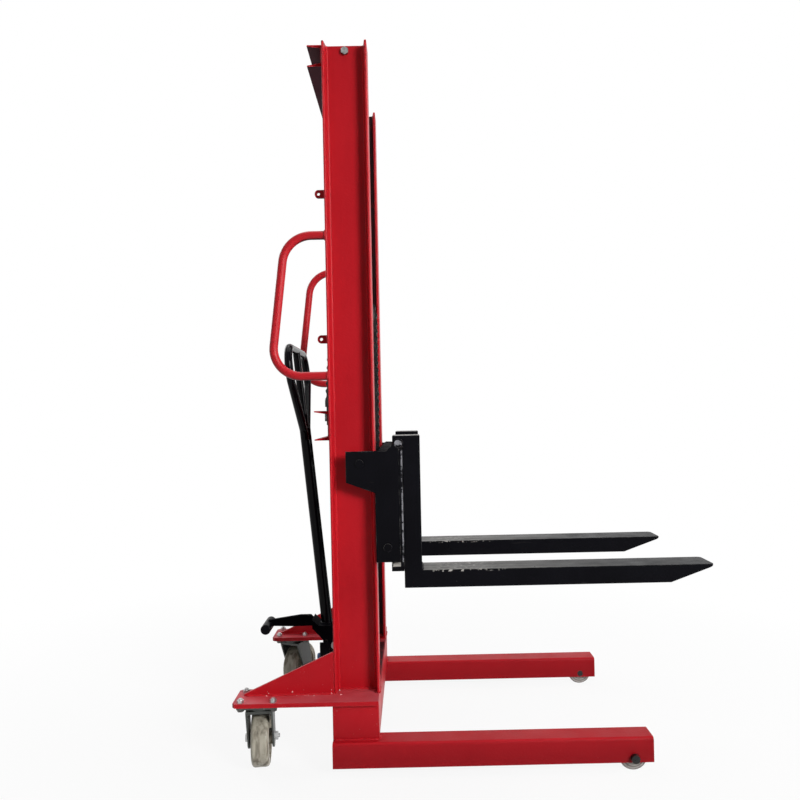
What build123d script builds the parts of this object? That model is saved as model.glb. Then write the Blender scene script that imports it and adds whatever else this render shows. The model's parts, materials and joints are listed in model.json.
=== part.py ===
from build123d import *
import math
import os

# Manual hydraulic hand stacker: a two-upright mast on two straddle legs, a fork carriage lifted by a
# chain over a sheave on the plunger of a single-acting cylinder, and a rocker pump with tiller and pedal.
# Millimetres. The origin is on the floor under the middle of the mast, +X towards the fork tips, +Z up,
# so the right-hand pieces are on the -Y side. The carriage is at the height that it has at rest.

# General clearances and fasteners
RUN_CLEARANCE = 0.05
PLAY = 0.3
BOLT_CLEARANCE = 0.5
M10_R = 5.0
M12_R = 6.0

# Mast
MAST_TOP = 2085.0
MAST_DEPTH = 130.0
MAST_INSET = 107.5
FLANGE_WIDTH = 76.0
FLANGE_TIP_T = 6.5
FLANGE_ROOT_T = 11.5
WEB_T = 6.0
ROOT_FILLET = 6.0
TIE_X = 0.0
TIE_DROP = 17.0
TIE_D = 24.0
TIE_BOLT_DEPTH = 30.0
TIE_THREAD_GAP = 2.0

# Rear cross channels of the mast
CHANNEL_DEPTH = 45.0
CHANNEL_WEB = 6.0
CHANNEL_ROOT_T = 10.0
CHANNEL_TIP_T = 3.5
CHANNEL_OVERHANG = 10.0
HEADER_HEIGHT = 63.0
CROSS_TOP = 1020.0
CROSS_HEIGHT = 86.0

# Guard lugs and hand bars behind the mast
LUG_T = 6.0
LUG_REACH = 31.0
LUG_HEIGHT = 24.0
LUG_END_R = 11.0
LUG_HOLE_R = 4.5
LUG_HOLE_OFFSET = 20.0
LUG_INSET = 38.0
LUG_LOW_Z = 1229.0
LUG_HIGH_Z = 1653.0
HAND_BAR_D = 25.0
HAND_BAR_WALL = 2.5
HAND_BAR_TOP = 1527.0
HAND_BAR_BOTTOM = 1121.0
HAND_BAR_TOP_REACH = 116.0
HAND_BAR_BOTTOM_REACH = 166.0
HAND_BAR_TOP_R = 85.0
HAND_BAR_BOTTOM_R = 80.0

# Base: straddle legs, crossbeam, caster plates and gussets
OUTER_WIDTH = 720.0
LEG_WIDTH = 75.0
LEG_HEIGHT = 69.0
LEG_WALL = 6.0
LEG_BEND_R = 9.0
LEG_REACH = 827.0
LEG_CLEARANCE = 27.0
BEAM_HEIGHT = 100.0
BEAM_WALL = 8.0
BEAM_INSET = 24.0
PLATE_T = 12.0
PLATE_WIDTH = 110.0
PLATE_REACH = 344.0
PLATE_INSET = 10.0
PLATE_CORNER = 8.0
GUSSET_T = 8.0
GUSSET_INSET = 0.0
GUSSET_HEIGHT = 119.0
GUSSET_LENGTH = 258.0
GUSSET_TOE = 5.0

# Load rollers in the leg tips
ROLLER_D = 80.0
ROLLER_WIDTH = 50.0
ROLLER_CHAMFER = 3.0
ROLLER_SETBACK = 54.0
ROLLER_AXLE_D = 20.0
ROLLER_HEAD_D = 24.0
ROLLER_HEAD_T = 12.0
SPACER_D = 32.0

# Swivel casters
CASTER_SETBACK = 68.0
CASTER_OUTSET = 5.0
CASTER_YAW = {"right": 97.0, "left": 67.0}
WHEEL_D = 160.0
WHEEL_WIDTH = 50.0
WHEEL_EDGE_R = 10.0
HUB_WIDTH = 62.0
HUB_D = 44.0
WEB_RECESS = 9.0
WHEEL_RIM_D = 118.0
TRAIL = 36.0
CASTER_PLATE_X = 114.0
CASTER_PLATE_Y = 98.0
CASTER_PLATE_T = 5.0
CASTER_BOLTS_X = 92.0
CASTER_BOLTS_Y = 76.0
RACE_D = 66.0
RACE_HEIGHT = 11.0
KINGPIN_D = 16.0
KINGPIN_HEAD_D = 26.0
KINGPIN_HEAD_T = 8.0
CROWN_T = 8.0
CROWN_BACK = 32.0
CROWN_FRONT = 42.0
YOKE_T = 6.0
YOKE_GAP = 1.0
YOKE_BOSS_R = 30.0

# Lift cylinder, plunger, sheave and chain
LIFT_DOWN = 232.0
LIFT_UP = 520.0
SHEAVE_Z = 1330.0
SHEAVE_PITCH_R = 68.5
SHEAVE_FLANGE_R = 70.5
SHEAVE_FLANGE_T = 3.0
SHEAVE_PIN_D = 25.0
SHEAVE_PIN_OVERHANG = 3.0
SHEAVE_SIDE_GAP = 2.0
SHEAVE_BLOCK_GAP = 4.0
CHAIN_FRONT_X = 58.0
CHAIN_PITCH = 25.4
CHAIN_PLATE_H = 22.0
CHAIN_WAIST = 15.0
CHAIN_WIDTH = 22.0
CHAIN_SIDE_PLAY = 1.5
CYLINDER_D = 63.0
CYLINDER_WALL = 6.0
CYLINDER_TOP = 962.0
CYLINDER_FLOOR_T = 12.0
GLAND_D = 76.0
GLAND_SKIRT = 14.0
GLAND_CAP = 28.0
PLUNGER_D = 36.0
PISTON_LENGTH = 45.0
PISTON_FLOOR_GAP = 4.0
FOOT_SIZE = 92.0
FOOT_T = 14.0
FOOT_BOSS = 78.0
FOOT_BOSS_H = 36.0
FOOT_BOLT_OFFSET = 36.0
YOKE_BLOCK_T = 16.0
YOKE_BLOCK_X = 46.0
CHEEK_T = 10.0
CHEEK_R = 24.0
ANCHOR_SETBACK = 31.0
ANCHOR_STUD_D = 16.0
ANCHOR_CLEVIS_LOW = 1034.0
ANCHOR_CLEVIS_H = 22.0
ANCHOR_TAIL = 975.0
ANCHOR_NUT_T = 12.0

# Carriage
CARRIAGE_TOP = 902.0
CARRIAGE_BOTTOM = 584.0
CARRIAGE_FRONT = 134.0
HOOK_REAR = 18.0
HOOK_BOTTOM_REAR = 813.0
HOOK_BOTTOM_FRONT = 782.0
CARRIAGE_PLATE_T = 8.0
CARRIAGE_MAST_GAP = 2.0
CARRIAGE_STEP_GAP = 0.5
STRAP_T = 10.0
STRAP_WIDTH = 77.5
CROSSBAR_UPPER_X = 73.0
CROSSBAR_DEPTH = 30.0
CROSSBAR_HEIGHT = 30.0
CROSSBAR_MID_Z = 700.0
CROSSBAR_MID_H = 40.0
CHAIN_BRACKET_LOW = 706.0
CHAIN_BRACKET_H = 30.0
CHAIN_BRACKET_WIDTH = 40.0
UPPER_BAR_D = 22.0
UPPER_BAR_Z = 922.0
BAR_EYE_R = 15.0
BAR_BRACKET_T = 12.0
LOWER_BAR = 26.0
LOWER_BAR_Z = 567.0
LOWER_BAR_OVERHANG = 2.0
STRAP_TOP_GAP = 6.0
MAST_ROLLER_D = 65.0
MAST_ROLLER_WIDTH = 26.0
MAST_ROLLER_GAP = 0.5
MAST_ROLLER_PLAY = 5.0
SHAFT_OVERHANG = 2.0
SHAFT_COLLAR_D = 26.0
UPPER_ROLLER_Z = 867.0
LOWER_ROLLER_Z = 626.0
ROLLER_SHAFT_D = 20.0
ROLLER_NECK_D = 16.0
ROLLER_CAP_D = 24.0
ROLLER_CAP_T = 4.0

# Forks
FORK_TOP = 556.0
BLADE_T = 51.0
BLADE_LENGTH = 844.0
FORK_WIDTH = 105.0
FORK_LEG_GAP = 3.5
FORK_PLATE_T = 8.0
SHANK_DEPTH = 51.0
TIP_BEVEL = 126.0
TIP_EDGE = 6.0
TIP_CORNER_R = 14.0
HOOK_T = 11.0
HOOK_LIP_T = 6.0
HOOK_LIP_DROP = 12.0

# Pump, rocker, tiller and pedal
PUMP_DEPTH = 71.0
PUMP_WIDTH = 96.0
PUMP_LOW = 120.0
PUMP_TOP = 236.0
PUMP_CORNER_R = 6.0
PUMP_FLANGE_WIDTH = 144.0
PUMP_FLANGE_T = 12.0
PUMP_FLANGE_H = 56.0
PUMP_BOLT_SPACING_Z = 32.0
PUMP_BOLT_SPACING_Y = 122.0
PUMP_BOLT_RISE = 8.0
PUMP_WALL_T = 8.0
PUMP_WALL_DEPTH = 32.0
PUMP_WALL_HEIGHT = 42.0
PUMP_EAR_WIDTH = 56.0
PUMP_EAR_R = 16.0
PIVOT_SETBACK = 23.0
PIVOT_Z = 268.0
PIVOT_PIN_D = 16.0
PIVOT_HEAD_D = 24.0
PIVOT_HEAD_T = 5.0
ROCKER_STROKE = 50.0
ROCKER_LEVER = 30.0
ROCKER_ROLLER_R = 9.0
ROCKER_ROLLER_WIDTH = 28.0
ROCKER_CHEEK_T = 8.0
ROCKER_CHEEK_GAP = 2.0
ROCKER_BOSS_R = 19.0
ROCKER_BACK = 72.0
ROCKER_TOP = 331.0
ROCKER_BLOCK_H = 15.0
ROCKER_SHOULDER_RISE = 18.0
ROCKER_SHOULDER_RUN = 20.0
ROCKER_HEEL_RISE = 6.0
ROCKER_KNEE_BACK = 43.0
ROCKER_KNEE_RISE = 22.0
ROCKER_FRONT = 4.0
PUMP_PISTON_D = 20.0
PUMP_PISTON_LENGTH = 110.0
PUMP_BORE_FLOOR = 10.0
PISTON_TOP_GAP = 0.5
PIPE_D = 14.0
PIPE_Z = 227.0
KNOB_Z = 220.0
KNOB_D = 21.0
KNOB_LENGTH = 14.0
KNOB_STEM_D = 9.0
KNOB_STEM_LENGTH = 8.0
TILLER_D = 36.0
TILLER_WALL = 3.0
TILLER_LEAN = 5.35
TILLER_FOOT_X = -115.0
TILLER_FOOT_Z = 318.5
TILLER_LENGTH = 649.6
LOOP_D = 25.0
LOOP_WALL = 2.5
LOOP_BAR_D = 24.0
LOOP_WIDTH = 362.0
LOOP_LAP = 38.0
LOOP_HEIGHT = 305.0
LOOP_NECK = 29.0
LOOP_SPREAD = 195.0
LOOP_BEND_R = 60.0
LOOP_NECK_R = 40.0
PEDAL_X = -308.0
PEDAL_Z = 324.0
PEDAL_D = 32.0
PEDAL_LENGTH = 100.0
PEDAL_EDGE_R = 2.0
PEDAL_ARM_T = 14.0
PEDAL_ARM_TIP_H = 18.0
PEDAL_ARM_RISE = 9.0
PEDAL_ARM_ROOT_H = 36.0
PEDAL_ARM_DROP = 8.0
PEDAL_ARM_FLAT = 43.0
PEDAL_ARM_HEEL = 64.0

# Places worked out from the sizes
mast_front = MAST_DEPTH / 2
mast_rear = -mast_front
web_y = OUTER_WIDTH / 2 - MAST_INSET
flange_tip_y = web_y + FLANGE_WIDTH / 2
beam_low = LEG_CLEARANCE + LEG_HEIGHT
beam_top = beam_low + BEAM_HEIGHT
plate_top = beam_top + PLATE_T
leg_y = (OUTER_WIDTH - LEG_WIDTH) / 2
leg_inner_y = OUTER_WIDTH / 2 - LEG_WIDTH
beam_half = OUTER_WIDTH / 2 - BEAM_INSET
plate_y = OUTER_WIDTH / 2 - PLATE_INSET - PLATE_WIDTH / 2
roller_x = LEG_REACH - ROLLER_SETBACK
roller_z = ROLLER_D / 2
caster_x = -PLATE_REACH + CASTER_SETBACK
caster_y = plate_y + CASTER_OUTSET
cylinder_x = CHAIN_FRONT_X - SHEAVE_PITCH_R
chain_rear_x = cylinder_x - SHEAVE_PITCH_R
anchor_x = mast_rear - ANCHOR_SETBACK
tie_z = MAST_TOP - TIE_DROP
carriage_y = flange_tip_y + CARRIAGE_MAST_GAP
carriage_step_x = mast_front + CARRIAGE_STEP_GAP
strap_front = CARRIAGE_FRONT + STRAP_T
shank_back = strap_front + PLAY
shank_front = shank_back + SHANK_DEPTH
fork_y = leg_inner_y - FORK_LEG_GAP - FORK_WIDTH / 2
fork_low = FORK_TOP - BLADE_T
fork_tip = shank_front + BLADE_LENGTH
upper_bar_x = shank_back - PLAY - UPPER_BAR_D / 2
lower_bar_half = fork_y + FORK_WIDTH / 2 + LOWER_BAR_OVERHANG
flange_taper = (FLANGE_ROOT_T - FLANGE_TIP_T) / ((FLANGE_WIDTH - WEB_T) / 2)
roller_lap = MAST_ROLLER_PLAY + MAST_ROLLER_WIDTH - CARRIAGE_MAST_GAP
roller_track_x = mast_front - FLANGE_TIP_T - flange_taper * roller_lap
upper_roller_x = roller_track_x - MAST_ROLLER_GAP - MAST_ROLLER_D / 2
lower_roller_x = mast_front + MAST_ROLLER_GAP + MAST_ROLLER_D / 2
pump_back = mast_rear - PUMP_DEPTH
pivot_x = mast_rear - PIVOT_SETBACK
half_stroke = math.radians(ROCKER_STROKE / 2)
rocker_roller_x = pivot_x - ROCKER_LEVER * math.cos(half_stroke)
rocker_roller_z = PIVOT_Z + ROCKER_LEVER * math.sin(half_stroke)
piston_x = pivot_x - ROCKER_LEVER * (1 + math.cos(half_stroke)) / 2
SIDES = (("right", -1), ("left", 1))


def side_plane(y):
    """Plane facing -Y at the given y, with its own axes along +X and +Z."""
    return Plane.XZ.offset(-y)


def keep(piece, name):
    """Label a finished piece and write it to its own file."""
    piece.part.label = name
    export_step(piece.part, f"parts/{name}.step")


def block(x_span, y_span, z_span):
    """Rectangular block between pairs of limits."""
    centre = [(low + high) / 2 for low, high in (x_span, y_span, z_span)]
    size = [high - low for low, high in (x_span, y_span, z_span)]
    with BuildPart() as piece:
        with Locations(tuple(centre)):
            Box(*size)
    return piece.part


def round_bar(start, end, radius, bore=0.0):
    """Round bar or tube between two points."""
    run = Vector(*end) - Vector(*start)
    with BuildPart() as piece:
        with BuildSketch(Plane(origin=start, z_dir=run)):
            Circle(radius)
            if bore > 0:
                Circle(bore, mode=Mode.SUBTRACT)
        extrude(amount=run.length)
    return piece.part


def side_slab(points, y_low, y_high):
    """Plate with a straight-edged outline in X and Z, between two y limits."""
    with BuildPart() as piece:
        with BuildSketch(side_plane(y_high)):
            Polygon(*points, align=None)
        extrude(amount=y_high - y_low)
    return piece.part


def hex_bolt(seat, outward, radius, grip, nut=False):
    """Hexagon bolt: head on the seat, shank the other way, with a nut and thread end past the grip."""
    flats = 1.7 * radius
    head = 1.3 * radius
    nut_height = 1.6 * radius if nut else 0.0
    thread_end = 0.8 * radius if nut else 0.0
    seat_plane = Plane(origin=seat, z_dir=outward)
    with BuildPart() as piece:
        with BuildSketch(seat_plane):
            RegularPolygon(flats, 6, major_radius=False)
        extrude(amount=head)
        with BuildSketch(seat_plane):
            Circle(radius)
        extrude(amount=-(grip + nut_height + thread_end))
        if nut:
            with BuildSketch(seat_plane.offset(-grip)):
                RegularPolygon(flats, 6, major_radius=False)
            extrude(amount=-nut_height)
    return piece.part


os.makedirs("parts", exist_ok=True)

# Mast uprights: rolled I-sections with tapered flanges, drilled at the top for the tie bolt
for side, sign in SIDES:
    with BuildPart() as mast_upright:
        with BuildSketch(Plane.XY.offset(plate_top)) as section:
            middle = sign * web_y
            with Locations((0, middle)):
                Rectangle(MAST_DEPTH - FLANGE_TIP_T, WEB_T)
            for end in (-1, 1):
                Polygon(
                    (end * mast_front, middle - FLANGE_WIDTH / 2),
                    (end * mast_front, middle + FLANGE_WIDTH / 2),
                    (end * (mast_front - FLANGE_TIP_T), middle + FLANGE_WIDTH / 2),
                    (end * (mast_front - FLANGE_ROOT_T), middle + WEB_T / 2),
                    (end * (mast_front - FLANGE_ROOT_T), middle - WEB_T / 2),
                    (end * (mast_front - FLANGE_TIP_T), middle - FLANGE_WIDTH / 2),
                    align=None,
                )
            roots = [v for v in section.vertices() if abs(abs(v.Y) - web_y) < WEB_T]
            fillet(roots, radius=ROOT_FILLET)
        extrude(amount=MAST_TOP - plate_top)
        with BuildSketch(side_plane(sign * web_y + WEB_T)):
            with Locations((TIE_X, tie_z)):
                Circle(M12_R + BOLT_CLEARANCE)
        extrude(amount=2 * WEB_T, mode=Mode.SUBTRACT)
    keep(mast_upright, f"mast_upright_{side}")

# Tie rod between the tops of the webs, tapped at both ends
tie_half = web_y - WEB_T / 2
with BuildPart() as top_tie_rod:
    add(round_bar((TIE_X, -tie_half, tie_z), (TIE_X, tie_half, tie_z), TIE_D / 2))
    for side, sign in SIDES:
        tapped_end = (TIE_X, sign * (tie_half - TIE_BOLT_DEPTH), tie_z)
        add(round_bar(tapped_end, (TIE_X, sign * tie_half, tie_z), M12_R), mode=Mode.SUBTRACT)
keep(top_tie_rod, "top_tie_rod")

# Rear cross channels: rolled sections with tapered flanges that point to the rear
channel_half = web_y + CHANNEL_OVERHANG


def channel(top, height):
    """Tapered-flange channel behind the rear flanges of the mast."""
    web_back = mast_rear - CHANNEL_WEB
    tip = mast_rear - CHANNEL_DEPTH
    low = top - height
    points = (
        (mast_rear, low),
        (mast_rear, top),
        (tip, top),
        (tip, top - CHANNEL_TIP_T),
        (web_back, top - CHANNEL_ROOT_T),
        (web_back, low + CHANNEL_ROOT_T),
        (tip, low + CHANNEL_TIP_T),
        (tip, low),
    )
    return side_slab(points, -channel_half, channel_half)


with BuildPart() as mast_cross_channels:
    add(channel(MAST_TOP, HEADER_HEIGHT))
    add(channel(CROSS_TOP, CROSS_HEIGHT))
    stud_hole_low = (anchor_x, 0, CROSS_TOP - CHANNEL_ROOT_T)
    stud_hole_top = (anchor_x, 0, CROSS_TOP)
    add(round_bar(stud_hole_low, stud_hole_top, ANCHOR_STUD_D / 2 + BOLT_CLEARANCE), mode=Mode.SUBTRACT)
keep(mast_cross_channels, "mast_cross_channels")

# Chain anchor: stud with a clevis above the channel flange, and two nuts below it
flange_under = CROSS_TOP - CHANNEL_TIP_T - (CHANNEL_ROOT_T - CHANNEL_TIP_T) * (
    (CHANNEL_DEPTH - ANCHOR_SETBACK + ANCHOR_STUD_D) / (CHANNEL_DEPTH - CHANNEL_WEB)
)
clevis_top = ANCHOR_CLEVIS_LOW + ANCHOR_CLEVIS_H
with BuildPart() as chain_anchor:
    add(round_bar((anchor_x, 0, ANCHOR_TAIL), (anchor_x, 0, ANCHOR_CLEVIS_LOW), ANCHOR_STUD_D / 2))
    clevis_x = (anchor_x - CHAIN_PLATE_H / 2, anchor_x + CHAIN_PLATE_H / 2)
    add(block(clevis_x, (-CHAIN_WIDTH / 2, CHAIN_WIDTH / 2), (ANCHOR_CLEVIS_LOW, clevis_top)))
    for level in (0, 1):
        nut_top = flange_under - level * (ANCHOR_NUT_T + PLAY)
        with BuildSketch(Plane.XY.offset(nut_top)):
            with Locations((anchor_x, 0)):
                RegularPolygon(ANCHOR_STUD_D * 0.75, 6, major_radius=False)
        extrude(amount=-ANCHOR_NUT_T)
keep(chain_anchor, "chain_anchor")

# Hand bars: bent tubes on the rear flanges
bar_y = flange_tip_y - HAND_BAR_D / 2 - BOLT_CLEARANCE
for side, sign in SIDES:
    with BuildPart() as hand_bar:
        with BuildLine(side_plane(sign * bar_y)) as path:
            FilletPolyline(
                (mast_rear, HAND_BAR_TOP),
                (mast_rear - HAND_BAR_TOP_REACH, HAND_BAR_TOP),
                (mast_rear - HAND_BAR_BOTTOM_REACH, HAND_BAR_BOTTOM),
                (mast_rear, HAND_BAR_BOTTOM),
                radius=[HAND_BAR_TOP_R, HAND_BAR_BOTTOM_R],
            )
        with BuildSketch(Plane(origin=path.line @ 0, z_dir=path.line % 0)):
            Circle(HAND_BAR_D / 2)
            Circle(HAND_BAR_D / 2 - HAND_BAR_WALL, mode=Mode.SUBTRACT)
        sweep(path=path.line)
    keep(hand_bar, f"hand_bar_{side}")

# Guard lugs: drilled tabs with a round end on the rear flanges, two on each upright
with BuildPart() as guard_lugs:
    for side, sign in SIDES:
        lug_y = sign * (flange_tip_y - LUG_INSET)
        for lug_z in (LUG_LOW_Z, LUG_HIGH_Z):
            with BuildSketch(side_plane(lug_y + LUG_T / 2)):
                with Locations((mast_rear - LUG_REACH / 2, lug_z)):
                    RectangleRounded(LUG_REACH, LUG_HEIGHT, LUG_END_R)
                with Locations((mast_rear - LUG_REACH / 4, lug_z)):
                    Rectangle(LUG_REACH / 2, LUG_HEIGHT)
                with Locations((mast_rear - LUG_HOLE_OFFSET, lug_z)):
                    Circle(LUG_HOLE_R, mode=Mode.SUBTRACT)
            extrude(amount=LUG_T)
keep(guard_lugs, "guard_lugs")

# Straddle legs: folded channels, open below, drilled for the roller axles
for side, sign in SIDES:
    with BuildPart() as leg:
        with BuildSketch(Plane.YZ.offset(mast_rear)) as leg_section:
            with Locations((sign * leg_y, LEG_CLEARANCE + LEG_HEIGHT / 2)):
                Rectangle(LEG_WIDTH, LEG_HEIGHT)
            fillet(leg_section.vertices().group_by(Axis.Y)[-1], radius=LEG_BEND_R)
            with BuildSketch(mode=Mode.SUBTRACT) as leg_inside:
                with Locations((sign * leg_y, LEG_CLEARANCE + (LEG_HEIGHT - LEG_WALL) / 2)):
                    Rectangle(LEG_WIDTH - 2 * LEG_WALL, LEG_HEIGHT - LEG_WALL)
                fillet(leg_inside.vertices().group_by(Axis.Y)[-1], radius=LEG_BEND_R - LEG_WALL)
        extrude(amount=LEG_REACH - mast_rear)
        axle_start = (roller_x, sign * leg_y - LEG_WIDTH, roller_z)
        axle_end = (roller_x, sign * leg_y + LEG_WIDTH, roller_z)
        add(round_bar(axle_start, axle_end, ROLLER_AXLE_D / 2), mode=Mode.SUBTRACT)
    keep(leg, f"leg_{side}")

# Crossbeam: box section over the rear ends of the legs, with a pocket for the cylinder
pump_bolt_z = beam_low + BEAM_HEIGHT / 2 + PUMP_BOLT_RISE
pump_bolt_places = [
    (dy * PUMP_BOLT_SPACING_Y / 2, pump_bolt_z + dz * PUMP_BOLT_SPACING_Z / 2)
    for dy in (-1, 1)
    for dz in (-1, 1)
]
foot_bolt_places = [(dx * FOOT_BOLT_OFFSET, dy * FOOT_BOLT_OFFSET) for dx in (-1, 1) for dy in (-1, 1)]
with BuildPart() as base_crossbeam:
    with BuildSketch(side_plane(beam_half - BEAM_WALL)):
        with Locations((0, beam_low + BEAM_HEIGHT / 2)):
            Rectangle(MAST_DEPTH, BEAM_HEIGHT)
            Rectangle(MAST_DEPTH - 2 * BEAM_WALL, BEAM_HEIGHT - 2 * BEAM_WALL, mode=Mode.SUBTRACT)
    extrude(amount=2 * (beam_half - BEAM_WALL))
    pocket_low = (cylinder_x, 0, beam_top - BEAM_WALL)
    pocket_r = CYLINDER_D / 2 + BOLT_CLEARANCE
    add(round_bar(pocket_low, (cylinder_x, 0, beam_top), pocket_r), mode=Mode.SUBTRACT)
    with BuildSketch(Plane.XY.offset(beam_top)):
        with Locations((cylinder_x, 0)):
            with Locations(*foot_bolt_places):
                Circle(M10_R)
    extrude(amount=-BEAM_WALL, mode=Mode.SUBTRACT)
    with BuildSketch(Plane.YZ.offset(mast_rear)):
        with Locations(*pump_bolt_places):
            Circle(M10_R)
    extrude(amount=BEAM_WALL, mode=Mode.SUBTRACT)
keep(base_crossbeam, "base_crossbeam")

# End plates that close the crossbeam and the leg tips
tip_inside = LEG_WIDTH / 2 - LEG_WALL
with BuildPart() as base_end_plates:
    for side, sign in SIDES:
        outer = sign * beam_half
        inner = sign * (beam_half - BEAM_WALL)
        add(block((mast_rear, mast_front), sorted((inner, outer)), (beam_low, beam_top)))
        with BuildSketch(Plane.YZ.offset(LEG_REACH)) as tip_section:
            with Locations((sign * leg_y, LEG_CLEARANCE + (LEG_HEIGHT - LEG_WALL) / 2)):
                Rectangle(LEG_WIDTH - 2 * LEG_WALL, LEG_HEIGHT - LEG_WALL)
            fillet(tip_section.vertices().group_by(Axis.Y)[-1], radius=LEG_BEND_R - LEG_WALL)
        extrude(amount=-LEG_WALL)
keep(base_end_plates, "base_end_plates")

# Caster plates under the mast, and the gussets that brace the uprights on them
caster_bolt_places = [(dx * CASTER_BOLTS_X / 2, dy * CASTER_BOLTS_Y / 2) for dx in (-1, 1) for dy in (-1, 1)]
with BuildPart() as base_plates:
    for side, sign in SIDES:
        with BuildSketch(Plane.XY.offset(beam_top)) as plate_outline:
            with Locations(((mast_front - PLATE_REACH) / 2, sign * plate_y)):
                Rectangle(PLATE_REACH + mast_front, PLATE_WIDTH)
            chamfer(plate_outline.vertices().group_by(Axis.X)[0], length=PLATE_CORNER)
            with Locations((caster_x, sign * caster_y)):
                with Locations(*caster_bolt_places):
                    Circle(M10_R + BOLT_CLEARANCE, mode=Mode.SUBTRACT)
        extrude(amount=PLATE_T)
keep(base_plates, "base_plates")

gusset_y = flange_tip_y - GUSSET_INSET - GUSSET_T / 2
gusset_points = (
    (mast_rear, plate_top),
    (mast_rear, plate_top + GUSSET_HEIGHT),
    (mast_rear - GUSSET_TOE, plate_top + GUSSET_HEIGHT),
    (mast_rear - GUSSET_LENGTH, plate_top + GUSSET_TOE),
    (mast_rear - GUSSET_LENGTH, plate_top),
)
with BuildPart() as base_gussets:
    for side, sign in SIDES:
        add(side_slab(gusset_points, sign * gusset_y - GUSSET_T / 2, sign * gusset_y + GUSSET_T / 2))
keep(base_gussets, "base_gussets")

# Load roller axles with their heads outside the legs and their spacer collars beside the rollers
with BuildPart() as load_roller_axles:
    for side, sign in SIDES:
        inner_end = (roller_x, sign * leg_inner_y, roller_z)
        outer_face = (roller_x, sign * OUTER_WIDTH / 2, roller_z)
        head_end = (roller_x, sign * (OUTER_WIDTH / 2 + ROLLER_HEAD_T), roller_z)
        add(round_bar(inner_end, outer_face, ROLLER_AXLE_D / 2))
        add(round_bar(outer_face, head_end, ROLLER_HEAD_D / 2))
        for end in (-1, 1):
            wall_y = sign * leg_y + end * (LEG_WIDTH / 2 - LEG_WALL)
            roller_face_y = sign * leg_y + end * (ROLLER_WIDTH / 2 + PLAY)
            wall_point = (roller_x, wall_y, roller_z)
            add(round_bar(wall_point, (roller_x, roller_face_y, roller_z), SPACER_D / 2))
keep(load_roller_axles, "load_roller_axles")

for side, sign in SIDES:
    with BuildPart() as load_roller:
        low_face = (roller_x, sign * leg_y - ROLLER_WIDTH / 2, roller_z)
        high_face = (roller_x, sign * leg_y + ROLLER_WIDTH / 2, roller_z)
        add(round_bar(low_face, high_face, ROLLER_D / 2))
        chamfer(load_roller.edges().filter_by(GeomType.CIRCLE), length=ROLLER_CHAMFER)
        add(round_bar(low_face, high_face, ROLLER_AXLE_D / 2 + RUN_CLEARANCE), mode=Mode.SUBTRACT)
    keep(load_roller, f"load_roller_{side}")

# Casters: fixed top plate with bearing race and kingpin, turning yoke, axle bolt and wheel
caster_plate_low = beam_top - CASTER_PLATE_T
crown_top = caster_plate_low - RACE_HEIGHT - PLAY
crown_low = crown_top - CROWN_T
axle_z = WHEEL_D / 2
yoke_inner = HUB_WIDTH / 2 + YOKE_GAP
yoke_outer = yoke_inner + YOKE_T

with BuildPart() as caster_top_plates:
    for side, sign in SIDES:
        with BuildSketch(Plane.XY.offset(caster_plate_low)):
            with Locations((caster_x, sign * caster_y)):
                RectangleRounded(CASTER_PLATE_X, CASTER_PLATE_Y, CASTER_PLATE_T)
                with Locations(*caster_bolt_places):
                    Circle(M10_R + BOLT_CLEARANCE, mode=Mode.SUBTRACT)
        extrude(amount=CASTER_PLATE_T)
        swivel_top = (caster_x, sign * caster_y, caster_plate_low)
        race_low = (caster_x, sign * caster_y, caster_plate_low - RACE_HEIGHT)
        head_top = (caster_x, sign * caster_y, crown_low - PLAY)
        head_low = (caster_x, sign * caster_y, crown_low - PLAY - KINGPIN_HEAD_T)
        add(round_bar(swivel_top, race_low, RACE_D / 2))
        add(round_bar(race_low, head_top, KINGPIN_D / 2))
        add(round_bar(head_top, head_low, KINGPIN_HEAD_D / 2))
keep(caster_top_plates, "caster_top_plates")

with BuildPart() as caster_bolts:
    for side, sign in SIDES:
        for dx, dy in caster_bolt_places:
            seat = (caster_x + dx, sign * caster_y + dy, caster_plate_low)
            add(hex_bolt(seat, (0, 0, -1), M10_R, CASTER_PLATE_T + PLATE_T, nut=True))
keep(caster_bolts, "caster_bolts")

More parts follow.
